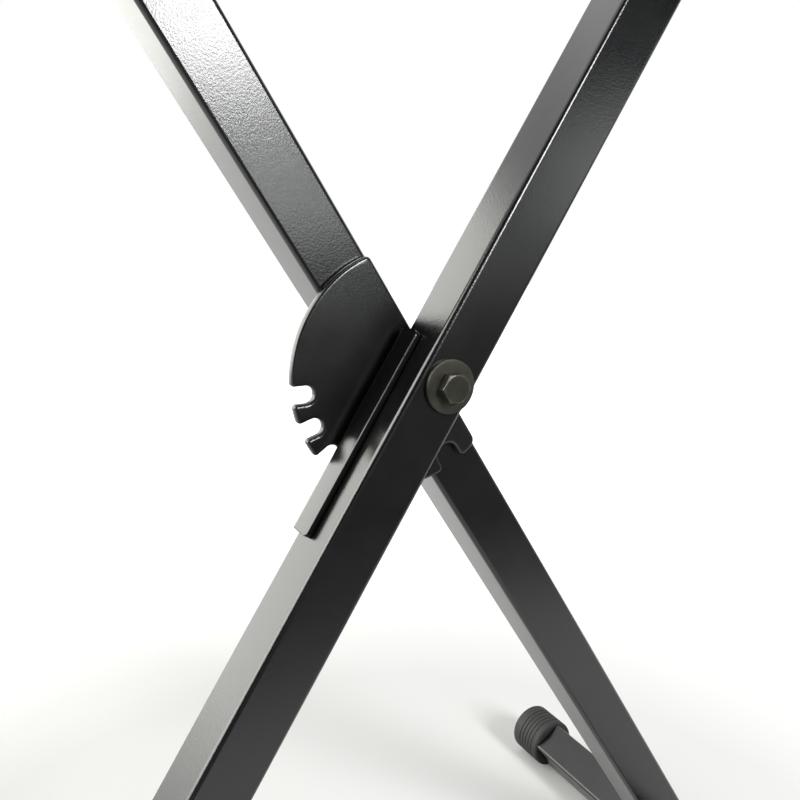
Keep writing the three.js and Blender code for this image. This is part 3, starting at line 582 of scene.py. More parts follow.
def tube_outlines(x, y):
    """The outer and inner outline of the square tube."""
    sizes = frame_sizes()
    inner = sizes.tube_side - 2 * sizes.tube_wall
    outside = rounded_box(x, y, sizes.tube_side, sizes.tube_side, sizes.tube_corner, 10)
    inside = rounded_box(x, y, inner, inner, sizes.tube_corner - sizes.tube_wall, 10)
    return outside, inside


def add_leg_tube(places, cutters=()):
    """One leg tube, drilled for the bolt and cut by its other cutters."""
    sizes = frame_sizes()
    outside, inside = tube_outlines(places.across, places.middle)
    end = sizes.tube_side / 2 + SEAT_GAP
    mesh = tube_mesh(places.name, outside, inside, places.foot + end, places.arm - end,
                     along_leg)
    bore = bore_cutter(places.near - 2 * MM, places.near + sizes.tube_side + 2 * MM)
    mesh = cut_mesh(mesh, [bore, *cutters])
    dressed(f"{places.name}_tube", mesh, places.body, "powder_coat",
            [places.name], places.matrix, 25)


def bore_cutter(near, far):
    """A cutter for the pivot bolt's hole."""
    return lathe_mesh("bore", [(0, near), (BORE_RADIUS, near), (BORE_RADIUS, far), (0, far)], 48)


def cut_mesh(mesh, cutters):
    """The mesh less each cutter, by an exact boolean that is applied."""
    base = bpy.data.objects.new("cut_base", mesh)
    bpy.context.scene.collection.objects.link(base)
    tools = []
    for cutter in cutters:
        tool = bpy.data.objects.new("cut_tool", cutter)
        bpy.context.scene.collection.objects.link(tool)
        step = base.modifiers.new("cut", "BOOLEAN")
        step.operation = "DIFFERENCE"
        step.solver = "EXACT"
        step.object = tool
        tools.append(tool)
    bpy.context.view_layer.update()
    result = bpy.data.meshes.new_from_object(base.evaluated_get(bpy.context.evaluated_depsgraph_get()))
    for thing in [base, *tools]:
        data = thing.data
        bpy.data.objects.remove(thing)
        bpy.data.meshes.remove(data)
    result.materials.clear()
    return result


def add_cross_bar(places, name, bar_length, along):
    """One cross bar."""
    outside, inside = tube_outlines(places.across, along)
    near = places.mid_depth - bar_length / 2
    mesh = tube_mesh(name, outside, inside, near, near + bar_length, through_leg)
    dressed(f"{name}_tube", mesh, places.body, "powder_coat", [name], places.matrix)


def add_gusset(places, name, along, up):
    """One triangular gusset with blunt tips and softened edges."""
    sizes = frame_sizes()
    y = places.gusset_face + places.gusset_way * SEAT_GAP
    z = along + up * (sizes.tube_side / 2 + SEAT_GAP)
    leg, tip = sizes.gusset_leg, sizes.gusset_tip
    corners = [(0, 0), (leg, 0), (leg, tip), (tip, leg), (0, leg)]
    outline = [(y + places.gusset_way * out, z + up * rise) for out, rise in corners]
    half = sizes.gusset_thickness / 2
    mesh = slab_mesh(name, outline, places.across - half, places.across + half, 0.5 * MM,
                     across_leg, 2)
    dressed(f"{name}_plate", mesh, places.body, "powder_coat", [name], places.matrix)


def weld_loop(path, radius, normal_of, seed):
    """A weld bead along a closed or open path of points, rippled as it was laid."""
    rng = random.Random(seed)
    loops = []
    for i, point in enumerate(path):
        ripple = 1 + 0.16 * math.sin(i * 1.9) + rng.uniform(-0.08, 0.08)
        out, rise = normal_of(i)
        loop = []
        for k in range(8):
            t = 2 * math.pi * k / 8
            loop.append(point + (out * math.cos(t) + rise * math.sin(t)) * radius * ripple)
        loops.append(loop)
    return loops


def add_weld(places, name, along, up):
    """The weld bead round the end of the leg tube, where it meets a cross bar."""
    sizes = frame_sizes()
    z = along + up * sizes.tube_side / 2
    outline = rounded_box(places.across, places.middle, sizes.tube_side, sizes.tube_side,
                          sizes.tube_corner, 4)
    path = []
    for i, (a, b) in enumerate(outline):
        c, d = outline[(i + 1) % len(outline)]
        steps = max(1, round(math.hypot(c - a, d - b) / (1.3 * MM)))
        path += [(a + (c - a) * k / steps, b + (d - b) * k / steps) for k in range(steps)]
    centre = Vector((places.across, places.middle, 0))
    points = [Vector((a, b, z)) for a, b in path]
    flat = [Vector((p.x, p.y, 0)) - centre for p in points]
    loops = weld_loop(points, sizes.weld * 0.62, lambda i: (flat[i].normalized(), Vector((0, 0, 1))),
                      name)
    mesh = loops_to_mesh(name, loops, ring=True)
    dressed(name, mesh, places.body, "powder_coat", (), places.matrix, 60)


# ------------------------------------------------------------------ rubber

def grooved(profile_radius, start, end, pitch, depth, width):
    """Points of a straight wall at a radius, with round-bottomed grooves at a pitch."""
    way = 1 if end > start else -1
    count = max(1, int(abs(end - start) / pitch) - 1)
    margin = (abs(end - start) - (count - 1) * pitch) / 2
    points = []
    for i in range(count):
        centre = start + way * (margin + i * pitch)
        points += [(profile_radius, centre - way * width / 2),
                   (profile_radius - depth * 0.75, centre - way * width / 4),
                   (profile_radius - depth, centre),
                   (profile_radius - depth * 0.75, centre + way * width / 4),
                   (profile_radius, centre + way * width / 2)]
    return points


def add_end_cap(places, kind, end, along):
    """A rubber cap over a bar's end: foot caps are plain and ribbed, arm caps have a raised rim."""
    sizes, rubber = frame_sizes(), rubber_sizes()
    bar = sizes.foot_bar if kind == "foot" else sizes.arm_bar
    body = rubber.foot_cap if kind == "foot" else rubber.sleeve
    lip = rubber.foot_cap if kind == "foot" else rubber.arm_cap
    way = -1 if end == "front" else 1
    grip, face, rim, soft = 26 * MM, 9 * MM, 6 * MM, 2.5 * MM
    lip_start = face - rim
    profile = [(0, -grip), (body - soft, -grip), *[
        (body - soft + soft * math.sin(t), -grip + soft - soft * math.cos(t))
        for t in (math.radians(a) for a in (30, 60, 90))]]
    wall_end = lip_start - (lip - body)
    profile += grooved(body, -grip + soft, wall_end, 4.2 * MM, rubber.groove, 1.5 * MM)
    if kind == "arm":
        profile += [(body, wall_end), (lip - 0.4 * MM, lip_start - 0.4 * MM), (lip, lip_start + 0.5 * MM)]
    profile += [(lip - soft + soft * math.cos(t), face - soft + soft * math.sin(t))
                for t in (math.radians(a) for a in (0, 22.5, 45, 67.5, 90))]
    dish = lip - 5 * MM
    profile += [(dish, face), (dish - 0.8 * MM, face - 0.8 * MM), (dish * 0.55, face - 0.8 * MM),
                (dish * 0.55 - 0.8 * MM, face), (0, face)]
    mesh = lathe_mesh("cap", [(r, way * d) for r, d in profile], 84)
    tip = places.mid_depth + way * bar / 2
    mesh.transform(Matrix.Translation((places.across, tip, along)))
    side = sizes.tube_side + 2 * FIT_GAP
    socket = rounded_box(places.across, along, side, side, sizes.tube_corner, 6)
    low, high = sorted((tip + way * FIT_GAP, tip - way * (grip + 2 * MM)))
    block = loops_to_mesh("socket", [[(a, low, b) for a, b in socket], [(a, high, b) for a, b in socket]],
                          closed_ends=True)
    mesh = cut_mesh(mesh, [block])
    node = f"{places.name}_{kind}_cap_{end}"
    dressed(f"{node}_rubber", mesh, places.body, "rubber", [node], places.matrix, 40)


def add_sleeve(places, end, along):
    """A ribbed rubber sleeve round an arm bar."""
    sizes, rubber = frame_sizes(), rubber_sizes()
    way = -1 if end == "front" else 1
    outer = places.mid_depth + way * (sizes.arm_bar / 2 - 34 * MM)
    near, far = sorted((outer, outer - way * rubber.sleeve_length))
    radius, soft = rubber.sleeve, 2 * MM
    side = sizes.tube_side + 2 * FIT_GAP
    profile = [(0, near), (radius - soft, near), (radius - 0.6 * MM, near + 0.6 * MM), (radius, near + soft)]
    profile += grooved(radius, near + soft, far - soft, 4 * MM, rubber.groove, 1.6 * MM)
    profile += [(radius, far - soft), (radius - 0.6 * MM, far - 0.6 * MM), (radius - soft, far), (0, far)]
    mesh = lathe_mesh("sleeve", profile, 84)
    mesh.transform(Matrix.Translation((places.across, 0, along)))
    hole = rounded_box(places.across, along, side, side, sizes.tube_corner, 6)
    block = loops_to_mesh("hole", [[(a, near - 2 * MM, b) for a, b in hole],
                                   [(a, far + 2 * MM, b) for a, b in hole]], closed_ends=True)
    mesh = cut_mesh(mesh, [block])
    node = f"{places.name}_arm_sleeve_{end}"
    dressed(f"{node}_rubber", mesh, places.body, "rubber_sleeve", [node],
            places.matrix, 40)


# ------------------------------------------------------------------ notched plate and saddle

def notch_points(rim, seat_radius, seat_angle, radius, tilt, tip_round):
    """One notch in a rim, from its first rounded tooth tip to its second."""
    facing = math.radians(seat_angle + tilt)
    out = Vector((math.cos(facing), math.sin(facing)))
    side = Vector((-out.y, out.x))
    at = math.radians(seat_angle)
    seat = Vector((math.cos(at), math.sin(at))) * seat_radius

    def tip(sign):
        start = seat + side * sign * (radius + tip_round)
        along = start.dot(out)
        reach = -along + math.sqrt(along * along - start.length_squared + (rim - tip_round) ** 2)
        centre = start + out * reach
        return centre, math.degrees(math.atan2(centre.y, centre.x)) % 360

    (first, rim_a), (second, rim_b) = tip(-1), tip(1)
    turn = seat_angle + tilt
    return [*arc(first.x, first.y, tip_round, rim_a, turn + 90, 10),
            *arc(seat.x, seat.y, radius, turn + 270, turn + 90, 24),
            *arc(second.x, second.y, tip_round, turn - 90, rim_b, 10)]


def plate_outline():
    """The plate's outline in the rear leg's frame, with the bolt at 0, 0."""
    rim = lock_sizes().plate_radius
    lobe = rim - LOBE_STEP
    side = frame_sizes().tube_side / 2 - BOLT_OFFSET * math.cos(LEAN) - 0.5 * MM

    def corner(reach, radius, up):
        x = side - radius
        y = up * math.sqrt((reach - radius) ** 2 - x * x)
        return x, y, math.degrees(math.atan2(y, x))

    def angle_of(point):
        return math.degrees(math.atan2(point[1], point[0])) % 360

    top_x, top_y, reached = corner(rim, TOP_CORNER, 1)
    low_x, low_y, low_angle = corner(lobe, LOW_CORNER, -1)
    points = arc(top_x, top_y, TOP_CORNER, 0, reached, 10)
    for i in range(3, -1, -1):
        cut = notch_points(rim, rim - NOTCH_DEPTH, LOCK_ANGLE - i * NOTCH_PITCH, NOTCH_RADIUS,
                           NOTCH_TILT, TOOTH_ROUND)
        points += arc(0, 0, rim, reached, angle_of(cut[0]), 24 if i == 3 else 4)[1:-1] + cut
        reached = angle_of(cut[-1])
    storage = notch_points(lobe, lobe - STORAGE_DEPTH, LOCK_ANGLE + FOLDED + 0.9, STORAGE_RADIUS,
                           STORAGE_TILT, LOBE_ROUND)
    points += arc(0, 0, rim, reached, 228, 6)[1:]
    points += arc(0, 0, lobe, 236, angle_of(storage[0]), 8)[:-1]
    points += storage
    points += arc(0, 0, lobe, angle_of(storage[-1]), low_angle + 360, 4)[1:-1]
    points += arc(low_x, low_y, LOW_CORNER, low_angle, 0, 12)
    return points


def inset(loop, by):
    """A loop of 2D points moved inwards, to the left of its direction of travel."""
    moved = []
    count = len(loop)
    for i, here in enumerate(loop):
        here = Vector(here)
        back, ahead = here - Vector(loop[i - 1]), Vector(loop[(i + 1) % count]) - here
        if back.length < 1e-9:
            back = ahead
        if ahead.length < 1e-9:
            ahead = back
        a, b = back.normalized(), ahead.normalized()
        normal = Vector((-(a.y + b.y), a.x + b.x))
        normal.normalize()
        miter = max(0.5, normal.dot(Vector((-b.y, b.x))))
        moved.append(tuple(here + normal * by / miter))
    return moved


def tidy_loop(loop, closest=0.02 * MM):
    """The loop without points that lie on each other."""
    kept = []
    for point in loop:
        if not kept or math.dist(point, kept[-1]) > closest:
            kept.append(point)
    while len(kept) > 1 and math.dist(kept[0], kept[-1]) < closest:
        kept.pop()
    return kept


def round_slab(name, outline, near, far, edge, point, holes=(), steps=4):
    """A flat slab with round edges. The outline runs anticlockwise and its holes clockwise."""
    bm = bmesh.new()
    sections = []
    for k in range(steps + 1):
        t = math.pi / 2 * k / steps
        sections.append((edge * (1 - math.sin(t)), near + edge * (1 - math.cos(t))))
    for k in range(steps + 1):
        t = math.pi / 2 * k / steps
        sections.append((edge * (1 - math.cos(t)), far - edge * (1 - math.sin(t))))
    ends = ([], [])
    for loop in [tidy_loop(outline), *map(tidy_loop, holes)]:
        rows = [[bm.verts.new(point(a, b, depth)) for a, b in inset(loop, by)] for by, depth in sections]
        for a, b in zip(rows, rows[1:]):
            for i in range(len(a)):
                j = (i + 1) % len(a)
                bm.faces.new((a[i], a[j], b[j], b[i]))
        for rim, row in ((ends[0], rows[0]), (ends[1], rows[-1])):
            for i, vert in enumerate(row):
                rim.append(bm.edges.get((vert, row[(i + 1) % len(row)])))
    for rim in ends:
        bmesh.ops.triangle_fill(bm, use_beauty=True, use_dissolve=False, edges=rim)
    return mesh_from(bm, name)


def circle(x, y, radius, steps=48):
    """A clockwise circle, for a hole."""
    return [(x + radius * math.cos(t), y - radius * math.sin(t))
            for t in (2 * math.pi * i / steps for i in range(steps))]


def add_notch_plate(places):
    """The notched plate on the rear leg, its edges rounded by the coat."""
    sizes = lock_sizes()
    far = places.near - FIT_GAP
    near = far - sizes.plate_thickness
    mesh = round_slab("notch_plate", plate_outline(), near, far, sizes.plate_edge,
                      through_leg, holes=[circle(0, 0, BORE_RADIUS)])
    dressed("notch_plate_steel", mesh, places.body, "plate_coat", ["notch_plate"],
            places.matrix, 50, slot="powder_coat")


def saddle_section(front_edge):
    """The saddle's section across the leg, as a list of (across, depth) points."""
    sizes, lock = frame_sizes(), lock_sizes()
    x = -BOLT_OFFSET * math.cos(LEAN)
    inner = sizes.tube_side / 2 + FIT_GAP
    outer = inner + lock.saddle_thickness
    near = sizes.tube_side + FIT_GAP
    far = near + lock.saddle_thickness
    bend = 2 * MM
    big = bend + lock.saddle_thickness
    e = lock.saddle_edge
    tip = front_edge

    def lip(a, b):
        way = 1 if b > a else -1
        return [(a, tip + e), (a + way * e * 0.3, tip + e * 0.3), (a + way * e, tip),
                (b - way * e, tip), (b - way * e * 0.3, tip + e * 0.3), (b, tip + e)]

    return [*lip(x + inner, x + outer),
            *arc(x + outer - big, far - big, big, 0, 90, 8),
            *arc(x - outer + big, far - big, big, 90, 180, 8),
            *lip(x - outer, x - inner),
            *arc(x - inner + bend, near - bend, bend, 180, 90, 6),
            *arc(x + inner - bend, near - bend, bend, 90, 0, 6)]


def add_saddle(places):
    """The pressed saddle round the back of the front leg, its flanges' front corners rounded."""
    edge = frame_sizes().tube_side + FIT_GAP - SADDLE_FLANGE
    low, high, corner, e = SADDLE_LOW, SADDLE_HIGH, SADDLE_CORNER, lock_sizes().saddle_edge
    steps = [corner * (1 - math.cos(math.radians(a))) for a in range(0, 91, 9)]
    loops = []
    for z in [*[low + step for step in steps], *[high - step for step in reversed(steps)]]:
        inside = min(z - low, high - z, corner)
        lift = corner - math.sqrt(max(0.0, corner ** 2 - (corner - inside) ** 2))
        loops.append([(a, b, z) for a, b in saddle_section(edge + lift)])

    def ended(loop, z):
        flat = [(a, b) for a, b, _ in loop]
        return [(a, b, z) for a, b in inset(flat, e * 0.7)]

    loops[0] = [(a, b, low + e * 0.7) for a, b, _ in loops[0]]
    loops.insert(0, ended(loops[0], low))
    loops[-1] = [(a, b, high - e * 0.7) for a, b, _ in loops[-1]]
    loops.append(ended(loops[-1], high))
    mesh = loops_to_mesh("saddle", loops, closed_ends=True)
    mesh = cut_mesh(mesh, [bore_cutter(25 * MM, 40 * MM), pin_slot(28 * MM, 40 * MM)])
    dressed("saddle_steel", mesh, places.body, "powder_coat", ["saddle_bracket"],
            places.matrix, 40)


# ------------------------------------------------------------------ lock

def pin_places():
    """How far down the leg the pin stands, seated and pulled."""
    rim = lock_sizes().plate_radius
    seated = rim - NOTCH_DEPTH - (NOTCH_RADIUS - PIN_RADIUS) + FIT_GAP
    return seated, rim + PIN_RADIUS + PULL_CLEARANCE


def pin_slot(near, far):
    """A cutter for the slot that the lock pin slides in."""
    seated, pulled = pin_places()
    outline = [*arc(0, -seated, PIN_SLOT_RADIUS, 0, 180, 12),
               *arc(0, -pulled, PIN_SLOT_RADIUS, 180, 360, 12)]
    return loops_to_mesh("pin_slot", [[(a, near, b) for a, b in outline], [(a, far, b) for a, b in outline]],
                         closed_ends=True)


def stem_slot(places):
    """A cutter for the slot in the leg's side that the pull's stem slides in."""
    seated, pulled = pin_places()
    side = places.across + frame_sizes().tube_side / 2
    high = (-128 + 0.3) * MM + pulled - seated
    low = (-158 - 0.3) * MM
    outline = rounded_box(LOCK_DEPTH, (high + low) / 2, 6.3 * MM, high - low, 1 * MM, 4)
    return loops_to_mesh("stem_slot", [[(side - 3 * MM, b, c) for b, c in outline],
                                       [(side + 2 * MM, b, c) for b, c in outline]], closed_ends=True)


def add_lock(places):
    """The lock bar, its pin, the guides, the spring, the pull and its screws."""
    seated, pulled = pin_places()
    matrix, body = places.matrix, places.body
    top, bottom = -pulled + 16 * MM, -pulled - 125 * MM
    outline = rounded_box(0, (top + bottom) / 2, 16 * MM, top - bottom, 2.6 * MM, 6)
    holes = [circle(0, -pulled, PIN_SLOT_RADIUS, 32), circle(0, top - 3.7 * MM, 2.2 * MM, 20)]
    bar = round_slab("lock_bar", outline, LOCK_DEPTH - 3 * MM, LOCK_DEPTH + 3 * MM, 0.5 * MM, through_leg,
                     holes=holes, steps=2)
    dressed("lock_bar_steel", bar, "lock", "zinc_steel", ["lock_bar"], matrix)
    near, tip = 17.85 * MM, places.near + frame_sizes().tube_side + LEG_GAP - FIT_GAP
    pin = lathe_mesh("lock_pin", [
        (0, near), (5 * MM, near), (5.5 * MM, near + 0.5 * MM), (5.5 * MM, 19.85 * MM),
        (PIN_RADIUS, 19.85 * MM), (PIN_RADIUS, tip - 0.7 * MM), (3.3 * MM, tip - 0.25 * MM),
        (2.9 * MM, tip), (0, tip)], 48)
    pin.transform(Matrix.Translation((0, 0, -pulled)))
    dressed("lock_pin_steel", pin, "lock", "zinc_steel", ["lock_pin"], matrix)
    window = rounded_box(0, LOCK_DEPTH, 16.6 * MM, 6.6 * MM, 0.3 * MM, 2)[::-1]
    for name, drop in GUIDE_DROPS.items():
        side = frame_sizes().tube_side - 2 * frame_sizes().tube_wall - 2 * FIT_GAP
        block = round_slab(f"lock_guide_{name}",
                           rounded_box(places.across, 15 * MM, side, side, 1.1 * MM, 4),
                           -drop - 7 * MM, -drop + 7 * MM, 0.4 * MM, along_leg,
                           holes=[window], steps=2)
        dressed(f"lock_guide_{name}_nylon", block, body, "pale_plastic",
                [f"lock_guide_{name}"], matrix)
    add_spring(places, top)
    add_pull(places)


def add_spring(places, bar_top):
    """The extension spring between the pivot bush and the lock bar."""
    mid = LOCK_DEPTH
    wire, coil = 0.55 * MM, 4.5 * MM
    hook = 6.7 * MM + 1.4 * MM
    low_hook = bar_top - 3.7 * MM + 4.2 * MM
    low, high = low_hook + 4.2 * MM, -14 * MM
    points = [Vector((hook * math.cos(math.radians(a)), mid, hook * math.sin(math.radians(a))))
              for a in range(200, -51, -10)]
    turns, steps = 10, 28
    for i in range(turns * steps + 1):
        t = 2 * math.pi * i / steps
        points.append(Vector((coil * math.cos(t), mid + coil * math.sin(t),
                              high + (low - high) * i / (turns * steps))))
    points += [Vector((0, mid + 4.2 * MM * math.cos(math.radians(a)),
                       low_hook + 4.2 * MM * math.sin(math.radians(a)))) for a in range(60, -191, -12)]
    mesh = wire_mesh("lock_spring", points, wire, 10)
    piece = dressed("lock_spring_wire", mesh, places.body, "zinc_steel", ["lock_spring"], places.matrix, 60)
    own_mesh(piece)


def wire_mesh(name, points, radius, sides):
    """A round wire along points, carried without twist."""
    loops = []
    frame_up = Vector((0, 1, 0))
    for i, point in enumerate(points):
        ahead = points[min(i + 1, len(points) - 1)] - points[max(i - 1, 0)]
        ahead.normalize()
        side = ahead.cross(frame_up)
        if side.length < 1e-6:
            side = ahead.cross(Vector((1, 0, 0)))
        side.normalize()
        frame_up = side.cross(ahead).normalized()
        loops.append([point + (side * math.cos(t) + frame_up * math.sin(t)) * radius
                      for t in (2 * math.pi * k / sides for k in range(sides))])
    return loops_to_mesh(name, loops, closed_ends=True)


def add_pull(places):
    """The finger pull on the leg's right side, with ribs under its lip, and its two screws."""
    face = places.across + frame_sizes().tube_side / 2 + FIT_GAP
    base, lip = face + 3.5 * MM, face + 8.8 * MM
    top, scoop, edge, lip_width = -113 * MM, 9 * MM, 1.2 * MM, 6 * MM
    bottom, lip_low = top - 55 * MM, top - lip_width
    scooped = arc(base + scoop, lip_low - scoop, scoop, 180, 120, 12)
    ribs = []
    for i in range(9):
        at = bottom + (12 + 3.2 * i) * MM
        ribs += [(base, at), (base + 0.5 * MM, at + 0.5 * MM), (base + 0.5 * MM, at + 0.9 * MM),
                 (base, at + 1.4 * MM)]
    outline = [(face, bottom), *arc(base - edge, bottom + edge, edge, 270, 360, 5), *ribs, *scooped,
               *arc(lip - edge, lip_low + edge, edge, 300, 360, 4),
               *arc(lip - lip_width / 2, top - lip_width / 2, lip_width / 2, 0, 90, 8), (face, top)]
    half = 7.5 * MM
    body = round_slab("pull", outline, LOCK_DEPTH - half, LOCK_DEPTH + half, 0.6 * MM, through_leg, steps=3)
    stem_left = 8.15 * MM
    stem = round_slab("stem", rounded_box((stem_left + face + 0.4 * MM) / 2, -143 * MM,
                                          face + 0.4 * MM - stem_left, 30 * MM, 0.3 * MM, 2),
                      LOCK_DEPTH - 2.7 * MM, LOCK_DEPTH + 2.7 * MM, 0.2 * MM, through_leg, steps=1)

    def drilled(solid):
        """Each solid is drilled by itself, because the boolean loses two that overlap."""
        holes = []
        for drop in SCREW_DROPS:
            hole = lathe_mesh("hole", [(0, 0), (2 * MM, 0), (2 * MM, 12 * MM), (3.5 * MM, 12 * MM),
                                       (3.5 * MM, 20 * MM), (0, 20 * MM)], 32)
            hole.transform(Matrix.Translation((base - 1.9 * MM - 12 * MM, LOCK_DEPTH, -drop))
                           @ Matrix.Rotation(-math.pi / 2, 4, "Z"))
            holes.append(hole)
        return cut_mesh(solid, holes)

    mesh = joined("pull", [drilled(body), drilled(stem)])
    dressed("release_pull_nylon", mesh, "lock", "black_plastic", ["release_pull"],
            places.matrix, 40)
    for i, drop in enumerate(SCREW_DROPS):
        head = base - 1.6 * MM
        screw = lathe_mesh("screw", [
            (0, -11 * MM), (1.7 * MM, -11 * MM), (1.7 * MM, 0), (3.2 * MM, 0), (3.2 * MM, 0.8 * MM),
            (2.9 * MM, 1.3 * MM), (2.2 * MM, 1.6 * MM), (0, 1.6 * MM)], 40)
        bars = [box_mesh((-1.9 * MM, 0.9 * MM, -0.35 * MM), (1.9 * MM, 2 * MM, 0.35 * MM)),
                box_mesh((-0.35 * MM, 0.9 * MM, -1.9 * MM), (0.35 * MM, 2 * MM, 1.9 * MM))]
        screw = cut_mesh(screw, bars)
        screw.transform(Matrix.Translation((head, LOCK_DEPTH, -drop))
                        @ Matrix.Rotation(-math.pi / 2, 4, "Z"))
        mark_edges(screw)
        dressed(f"pull_screw_{i + 1}_steel", screw, "lock", "black_fastener",
                [f"pull_screw_{i + 1}"], places.matrix, 40)


def box_mesh(low, high):
    """A box from its lowest to its highest corner."""
    bm = bmesh.new()
    bmesh.ops.create_cube(bm, size=1.0)
    size = Vector(high) - Vector(low)
    middle = (Vector(high) + Vector(low)) / 2
    bmesh.ops.scale(bm, vec=size, verts=bm.verts)
    bmesh.ops.translate(bm, vec=middle, verts=bm.verts)
    return mesh_from(bm, "box")


# ------------------------------------------------------------------ pivot

def hex_mesh(name, flats, near, far, chamfer_near, bore=0.0, steps=120):
    """A hexagonal head or nut: a 30-degree chamfer on one face, corners slightly worn."""
    half = flats / 2
    flat = half - 0.3 * MM
    corner = half / math.cos(math.radians(30)) - 0.12 * MM
    start, end, way = (near, far, 1) if chamfer_near else (far, near, -1)
    slope = math.tan(math.radians(30))

    def reach(turn):
        nearest = round((turn - 30) / 60) * 60 + 30
        return min(corner, half / math.cos(math.radians(turn - nearest)))

    rows = []
    turns = [360 * i / steps for i in range(steps)]

    def row(radius_of, depth_of):
        rows.append([(radius_of(t) * math.cos(math.radians(t)), depth_of(t),
                      radius_of(t) * math.sin(math.radians(t))) for t in turns])

    row(lambda t: max(bore, 0.02 * MM), lambda t: start)
    if not bore:
        row(lambda t: flat * 0.45, lambda t: start)
    row(lambda t: flat - 0.5 * MM, lambda t: start)
    row(lambda t: flat - 0.1 * MM, lambda t: start + way * 0.02 * MM)
    row(lambda t: flat + 0.1 * MM, lambda t: start + way * 0.09 * MM)
    row(lambda t: reach(t) - 0.12 * MM, lambda t: start + way * (reach(t) - 0.12 * MM - flat) * slope)
    row(lambda t: reach(t), lambda t: start + way * ((reach(t) - flat) * slope + 0.16 * MM))
    row(lambda t: reach(t), lambda t: start + way * ((reach(t) - flat) * slope + 0.6 * MM))
    row(reach, lambda t: end - way * 0.5 * MM)
    row(reach, lambda t: end - way * 0.12 * MM)
    row(lambda t: reach(t) - 0.12 * MM, lambda t: end)
    row(lambda t: max(bore, 0.02 * MM), lambda t: end)
    bm = bmesh.new()
    verts = [[bm.verts.new(p) for p in r] for r in rows]
    pairs = list(zip(verts, verts[1:])) + ([(verts[-1], verts[0])] if bore else [])
    for a, b in pairs:
        for i in range(steps):
            j = (i + 1) % steps
            bm.faces.new((a[i], a[j], b[j], b[i]))
    if not bore:
        bm.faces.new(verts[0])
        bm.faces.new(verts[-1])
    mesh = mesh_from(bm, name)
    edge = mesh.attributes.new("edge", "FLOAT", "POINT")
    marks = []
    strong = {2: 0.2, 3: 0.65, 4: 0.65, 5: 0.65, 6: 0.8, 7: 0.25, 8: 0.05, 9: 0.4, 10: 0.5}
    shift = 1 if bore else 0
    for k in range(len(rows)):
        for t in turns:
            near_corner = 1 - min(1.0, abs(((t + 30) % 60) - 30) / 4.0)
            base = strong.get(k + shift, 0.05)
            marks.append(max(base, 0.7 * near_corner if 4 <= k + shift <= 10 else 0.0))
    edge.data.foreach_set("value", marks)
    return mesh


def add_pivot(places):
    """The bolt, its washers and spacer, and the lock nut with its insert."""
    sizes, tubes = lock_sizes(), frame_sizes()
    rear_far = 2 * tubes.tube_side + LEG_GAP
    thick, wide = sizes.washer_thickness, sizes.washer_radius
    upright = places.matrix @ Matrix.Rotation(-LEAN, 4, "Y")
    body = places.body
    head_far = -2 * SEAT_GAP - thick
    head = hex_mesh("bolt_head", sizes.bolt_flats, head_far - 5.3 * MM, head_far, True)
    tip = rear_far + 2 * SEAT_GAP + thick + 11.4 * MM
    r = sizes.bolt_radius
    profile = [(0, head_far - 0.2 * MM), (r, head_far - 0.2 * MM), (r, tip - 16 * MM)]
    start = tip - 16 * MM
    while start < tip - 1.6 * MM:
        profile += [(r - 0.05 * MM, start + 0.15 * MM), (r - 0.62 * MM, start + 0.62 * MM),
                    (r - 0.05 * MM, start + 1.1 * MM)]
        start += 1.25 * MM
    profile += [(r - 0.05 * MM, tip - 0.9 * MM), (r - 0.9 * MM, tip), (0, tip)]
    shank = lathe_mesh("bolt_shank", profile, 64)
    shank.attributes.new("edge", "FLOAT", "POINT")
    bolt = joined("bolt", [head, shank])
    dressed("pivot_bolt_steel", bolt, body, "black_fastener", ["pivot_bolt"], upright, 28)
    for name, near in (("front_washer", -SEAT_GAP - thick), ("rear_washer", rear_far + SEAT_GAP)):
        washer = washer_mesh(name, BORE_RADIUS, wide, near, near + thick)
        dressed(f"{name}_steel", washer, body, "black_fastener", [name], upright, 40)
    near = rear_far + 2 * SEAT_GAP + thick
    nut = hex_mesh("nut", sizes.bolt_flats, near, near + 6 * MM, False, bore=4.15 * MM)
    collar = lathe_mesh("collar", [
        (5.0 * MM, near + 5.8 * MM), (5.6 * MM, near + 5.8 * MM), (5.6 * MM, near + 7.4 * MM),
        (5.3 * MM, near + 8.1 * MM), (4.9 * MM, near + 8.4 * MM), (4.8 * MM, near + 8.2 * MM)], 64)
    collar.attributes.new("edge", "FLOAT", "POINT")
    dressed("pivot_lock_nut_steel", joined("lock_nut", [nut, collar]), body, "black_fastener",
            ["pivot_lock_nut"], upright, 28)
    insert = lathe_mesh("insert", [
        (4.2 * MM, near + 6.1 * MM), (4.9 * MM, near + 6.1 * MM), (4.9 * MM, near + 8.0 * MM),
        (4.2 * MM, near + 7.8 * MM)], 64)
    dressed("pivot_nut_insert", insert, body, "pale_plastic", (), upright)
    plate_near = tubes.tube_side + LEG_GAP - FIT_GAP - sizes.plate_thickness
    web = tubes.tube_side + FIT_GAP + sizes.saddle_thickness
    spacer = washer_mesh("spacer", BORE_RADIUS, 11 * MM, web + SEAT_GAP, plate_near - SEAT_GAP)
    dressed("pivot_spacer_nylon", spacer, body, "black_plastic", ["pivot_spacer"], upright, 40)


